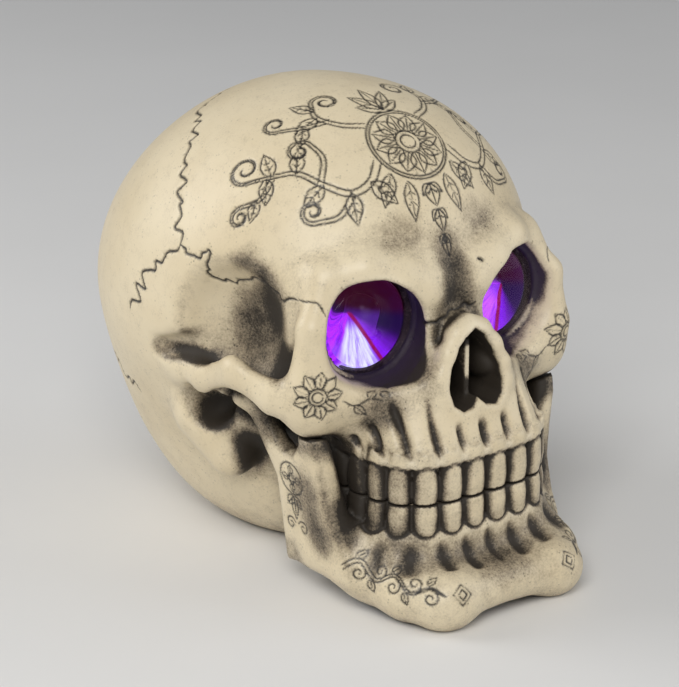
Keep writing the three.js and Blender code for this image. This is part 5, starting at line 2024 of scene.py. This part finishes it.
class Bench:
    """Turned pieces, modelled ring by ring with Blender's operators."""

    @staticmethod
    def clear() -> None:
        """Leaves edit mode with nothing selected."""
        if bpy.context.object and bpy.context.object.mode != "OBJECT":
            bpy.ops.object.mode_set(mode="OBJECT")
        bpy.ops.object.select_all(action="DESELECT")

    @staticmethod
    def turn(
        name: str, profile: Sequence[Span], sides: int, stretch: float = 1.0
    ) -> Piece:
        """Turns a profile about z.

        Args:
            name: The piece's name.
            profile: (radius, height) pairs from the foot up, in millimetres, closed at both ends.
            sides: How many sides each ring has.
            stretch: Size along y against x.

        Returns:
            The piece, standing at the origin.
        """
        Bench.clear()
        radius, height = profile[0]
        foot = (0, 0, height * MM)
        bpy.ops.mesh.primitive_circle_add(vertices=sides, radius=radius * MM, fill_type="NGON", location=foot)
        piece = bpy.context.object
        piece.name = name
        piece.data.name = name
        bpy.ops.object.mode_set(mode="EDIT")
        bpy.ops.mesh.select_all(action="SELECT")
        for (r0, h0), (r1, h1) in zip(profile[:-1], profile[1:]):
            bpy.ops.mesh.extrude_region_move(TRANSFORM_OT_translate={"value": (0, 0, (h1 - h0) * MM)})
            share = r1 / r0
            bpy.ops.transform.resize(value=(share, share, 1.0), center_override=(0, 0, h1 * MM))
        bpy.ops.mesh.select_all(action="SELECT")
        bpy.ops.mesh.normals_make_consistent(inside=False)
        bpy.ops.transform.resize(value=(1.0, stretch, 1.0), center_override=(0, 0, 0))
        bpy.ops.object.mode_set(mode="OBJECT")
        bpy.ops.object.transform_apply(location=True, rotation=True, scale=True)
        bpy.ops.object.shade_smooth_by_angle(angle=math.radians(32.0))
        Bench.clear()
        return piece

    @staticmethod
    def stand(piece: Piece, base: Vector, axis: Vector) -> None:
        """Stands a turned piece on a point, its axis along a direction, with its place in its mesh."""
        turn = axis.to_track_quat("Z", "Y").to_matrix().to_4x4()
        piece.data.transform(Matrix.Translation(base) @ turn)


@dataclass
class LampEye:
    """One eye: a domed lens, the lamp behind it and its lining, with lamp light painted on the lining as
    emission.
    """

    seat: LampSeat
    side: Side
    edge: float = 0.4
    lining_play: float = 0.5
    tip: float = 0.2
    flange: float = 1.4
    flange_out: float = 0.6
    lens_rings: int = 15
    cup_rings: int = 14
    lamp_rings: int = 9
    # Emission colours of the painted beam, the dim ground and the violet glow, for the lining and for the
    # lamp body.
    night_lining: Colour = (0.006, 0.002, 0.02)
    violet_lining: Colour = (0.24, 0.014, 0.8)
    night_epoxy: Colour = (0.05, 0.01, 0.16)
    violet_epoxy: Colour = (0.25, 0.03, 0.7)

    @property
    def word(self) -> str:
        """The side's name."""
        return self.side.name.lower()

    def lens(self, gem: Material) -> Piece:
        """The clear violet dome on its flange.

        Args:
            gem: Its finish.

        Returns:
            The piece.
        """
        seat = self.seat
        r = seat.lens_width / 2
        profile = [(r - self.edge, 0.0), (r, self.edge)]
        rise = seat.rim + seat.dome - seat.band
        for i in range(self.lens_rings):
            a = math.pi / 2 * i / self.lens_rings
            profile.append((r * math.cos(a), seat.band + rise * math.sin(a)))
        profile.append((self.edge, seat.rim + seat.dome))
        piece = Bench.turn(f"{self.word}_eye_gem", profile, 72, seat.lens_height / seat.lens_width)
        Bench.stand(piece, placed(self.side.value * seat.spread, seat.back, seat.height), Vector((0, -1, 0)))
        piece.data.materials.append(gem)
        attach(piece, BODY)
        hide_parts(f"{self.word}_eye_lens")
        return piece

    def cup(self, lining: Material) -> Piece:
        """The lining of the lamp's room, a thin bowl behind the lens, with the lamp's light painted on it as
        emission.

        Args:
            lining: Its finish.

        Returns:
            The piece.
        """
        seat, thin = self.seat, self.edge
        wide, deep = seat.room[0] - self.lining_play, seat.room[1] - thin
        turns = [math.pi / 2 * i / self.cup_rings for i in range(self.cup_rings + 1)]
        profile = [(max(wide * math.sin(a), thin), deep * (1.0 - math.cos(a))) for a in turns]
        for a in turns[::-1]:
            radius = max((wide - thin) * math.sin(a), thin)
            profile.append((radius, thin + (deep - thin) * (1.0 - math.cos(a))))
        piece = Bench.turn(f"{self.word}_lamp_cup", profile, 48)
        middle = (self.side.value * seat.spread, seat.back + deep + thin, seat.height)
        Bench.stand(piece, placed(*middle), Vector((0, -1, 0)))
        piece.data.materials.append(lining)
        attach(piece, BODY)
        return piece

    def lamp(self, epoxy: Material) -> Piece:
        """The lamp's round-ended epoxy body on its flange.

        Args:
            epoxy: Its finish.

        Returns:
            The piece.
        """
        r, tall, tip = self.seat.led_radius, self.seat.led_length, self.tip
        brim, top = r + self.flange_out, self.flange
        profile = [(r + tip, 0.0), (brim, 0.25), (brim, top - tip), (r + 0.4, top), (r, top), (r, tall - r)]
        for i in range(1, self.lamp_rings):
            a = math.pi / 2 * i / self.lamp_rings
            profile.append((r * math.cos(a), tall - r + r * math.sin(a)))
        profile.append((tip, tall))
        piece = Bench.turn(f"{self.word}_lamp", profile, 40)
        Bench.stand(piece, placed(*self.seat.led_foot(self.side)), Vector(self.seat.lean))
        piece.data.materials.append(epoxy)
        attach(piece, BODY)
        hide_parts(f"{self.word}_led")
        return piece

    def build(self, gem: Material) -> None:
        """Makes the eye's pieces, and paints the lamp's light on the holder behind them.

        Args:
            gem: The lens finish.
        """
        beam = placed(*self.seat.beams[self.side]), self.seat.spreads[self.side]
        beam_heart = self.seat.painted_beam_hearts[self.side]
        # The lining, the lamp body and the black plastic holder all get the same painted beam as emission.
        lining = PaintedBeamFinish("painted_beam_lining", self.night_lining, self.violet_lining, beam_heart).make(*beam)
        epoxy = PaintedBeamFinish("painted_beam_epoxy", self.night_epoxy, self.violet_epoxy, beam_heart).make(*beam)
        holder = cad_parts[f"{self.word}_led_holder"]
        holder.data.materials.clear()
        holder.data.materials.append(lining)
        pieces = self.lens(gem), self.lamp(epoxy), self.cup(lining)
        log.info("%s eye: %s, %s, %s", self.word, *(piece.name for piece in pieces))


@dataclass
class BaseParts:
    """The battery box and wiring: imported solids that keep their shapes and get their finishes."""

    def dress(self) -> None:
        """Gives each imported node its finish."""
        black = PlasticFinish("black_plastic_grain", (0.012, 0.012, 0.014), (0.03, 0.03, 0.034)).make()
        white = PlasticFinish("white_plastic_grain", (0.7, 0.68, 0.62), (0.8, 0.79, 0.75), 0.42).make()
        red = PlasticFinish("red_wire_skin", (0.36, 0.012, 0.01), (0.5, 0.03, 0.02), 0.38, 700.0).make()
        soot, slate = (0.01, 0.01, 0.011), (0.026, 0.026, 0.028)
        dark = PlasticFinish("black_wire_skin", soot, slate, 0.38, 700.0).make()
        zinc = MetalFinish("zinc_screw", (0.6, 0.61, 0.63), (0.36, 0.36, 0.36)).make()
        can = MetalFinish("nickel_can", (0.7, 0.69, 0.66), (0.5, 0.48, 0.45), 0.22).make()
        brass = MetalFinish("brass_strip", (0.72, 0.53, 0.2), (0.42, 0.28, 0.1)).make()
        finishes = {
            "battery_box": black, "battery_door": black, "switch_body": black, "switch_slider": white,
            "door_screw": zinc, "contact_spring": can, "negative_contact": brass, "positive_contact": brass,
        }
        for i in (1, 2, 3):
            finishes[f"battery_{i}"] = can
        for side in Side:
            word = side.name.lower()
            finishes[f"{word}_wire_red"] = red
            finishes[f"{word}_wire_black"] = dark
        for name, material in finishes.items():
            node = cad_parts[name]
            node.data.materials.clear()
            node.data.materials.append(material)
            log.info("dressed %s", name)


@dataclass
class Studio:
    """The floor, the lights and the camera."""

    azimuth: float = -37.0
    elevation: float = 20.0
    distance: float = 900.0
    target: Point = (0.0, -1.3, 60.7)
    pixels_per_mm: float = 3.2
    image_long_side: int = 687
    sensor: float = 36.0
    aim: Point = (0.0, 0.0, 0.07)
    floor_size: float = 12.0
    floor_drop: float = 0.0004
    sky: tuple[float, float, float, float] = (0.8, 0.82, 0.85, 1.0)
    sky_strength: float = 0.28

    def floor(self) -> None:
        """A plain pale floor."""
        Bench.clear()
        bpy.ops.mesh.primitive_plane_add(size=self.floor_size, location=(0, 0, -self.floor_drop))
        plane = bpy.context.object
        plane.name = "floor"
        r = Recipe("pale_floor")
        tone = r.mix(r.noise(6.0, 3.0).step(0.3, 0.7), (0.78, 0.775, 0.765), (0.8, 0.795, 0.785))
        plane.data.materials.append(r.finish(Base_Color=tone, Roughness=0.55))

    def light(self, name: str, place: Vector, size: float, watts: float, colour: Colour = (1, 1, 1)) -> None:
        """A square soft light aimed at the skull.

        Args:
            name: The light's name.
            place: Where it stands, in metres.
            size: Length of its side, in metres.
            watts: Its power.
            colour: Its colour.
        """
        lamp = bpy.data.lights.new(name, "AREA")
        lamp.size = size
        lamp.energy = watts
        lamp.color = colour
        made = bpy.data.objects.new(name, lamp)
        bpy.context.scene.collection.objects.link(made)
        made.location = place
        made.rotation_mode = "QUATERNION"
        made.rotation_quaternion = (Vector(self.aim) - place).to_track_quat("-Z", "Y")

    def camera(self) -> None:
        """The camera at the photograph's angle."""
        a, e = math.radians(self.azimuth), math.radians(self.elevation)
        back = Vector((math.sin(a) * math.cos(e), -math.cos(a) * math.cos(e), math.sin(e)))
        lens = bpy.data.cameras.new("camera")
        lens.sensor_width = self.sensor
        lens.lens = self.pixels_per_mm * self.distance * self.sensor / self.image_long_side
        lens.clip_start = 0.01
        made = bpy.data.objects.new("camera", lens)
        bpy.context.scene.collection.objects.link(made)
        made.location = (Vector(self.target) + back * self.distance) * MM
        made.rotation_mode = "QUATERNION"
        made.rotation_quaternion = (-back).to_track_quat("-Z", "Y")
        bpy.context.scene.camera = made

    def build(self) -> None:
        """Sets the scene up."""
        self.floor()
        self.light("key", Vector((-0.75, -0.75, 0.95)), 0.7, 11.0, (1.0, 0.985, 0.96))
        self.light("fill", Vector((0.95, -0.8, 0.5)), 0.9, 4.5)
        self.light("rim", Vector((-0.7, 0.7, 0.6)), 0.6, 5.0)
        world = bpy.data.worlds.new("studio")
        world.use_nodes = True
        background = world.node_tree.nodes["Background"].inputs
        background["Color"].default_value = self.sky
        background["Strength"].default_value = self.sky_strength
        bpy.context.scene.world = world
        bpy.context.scene.view_settings.view_transform = "Standard"
        self.camera()


def main() -> None:
    """Builds every piece in order, logging the triangle count of each casting."""
    logging.basicConfig(level=logging.INFO, format="%(name)s: %(message)s")
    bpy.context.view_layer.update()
    Studio().build()
    teeth = ToothRow()
    seat = LampSeat()
    skull = CraniumForm(teeth, seat)
    mandible = JawForm(teeth, skull)

    def company(p: Array) -> Array:
        """Both bones together."""
        return np.minimum(skull.outer(p), mandible.outer(p))

    cranium = Cranium(teeth, company, form=skull)
    jaw = Jaw(teeth, company, form=mandible)
    Ornament(cranium, jaw).build()
    bone = BoneFinish().make()
    for casting in (cranium, jaw):
        casting.build().data.materials.append(bone)
    gem = GemFinish().make()
    for side in Side:
        LampEye(seat, side).build(gem)
    BaseParts().dress()


if __name__ == "__main__":
    main()
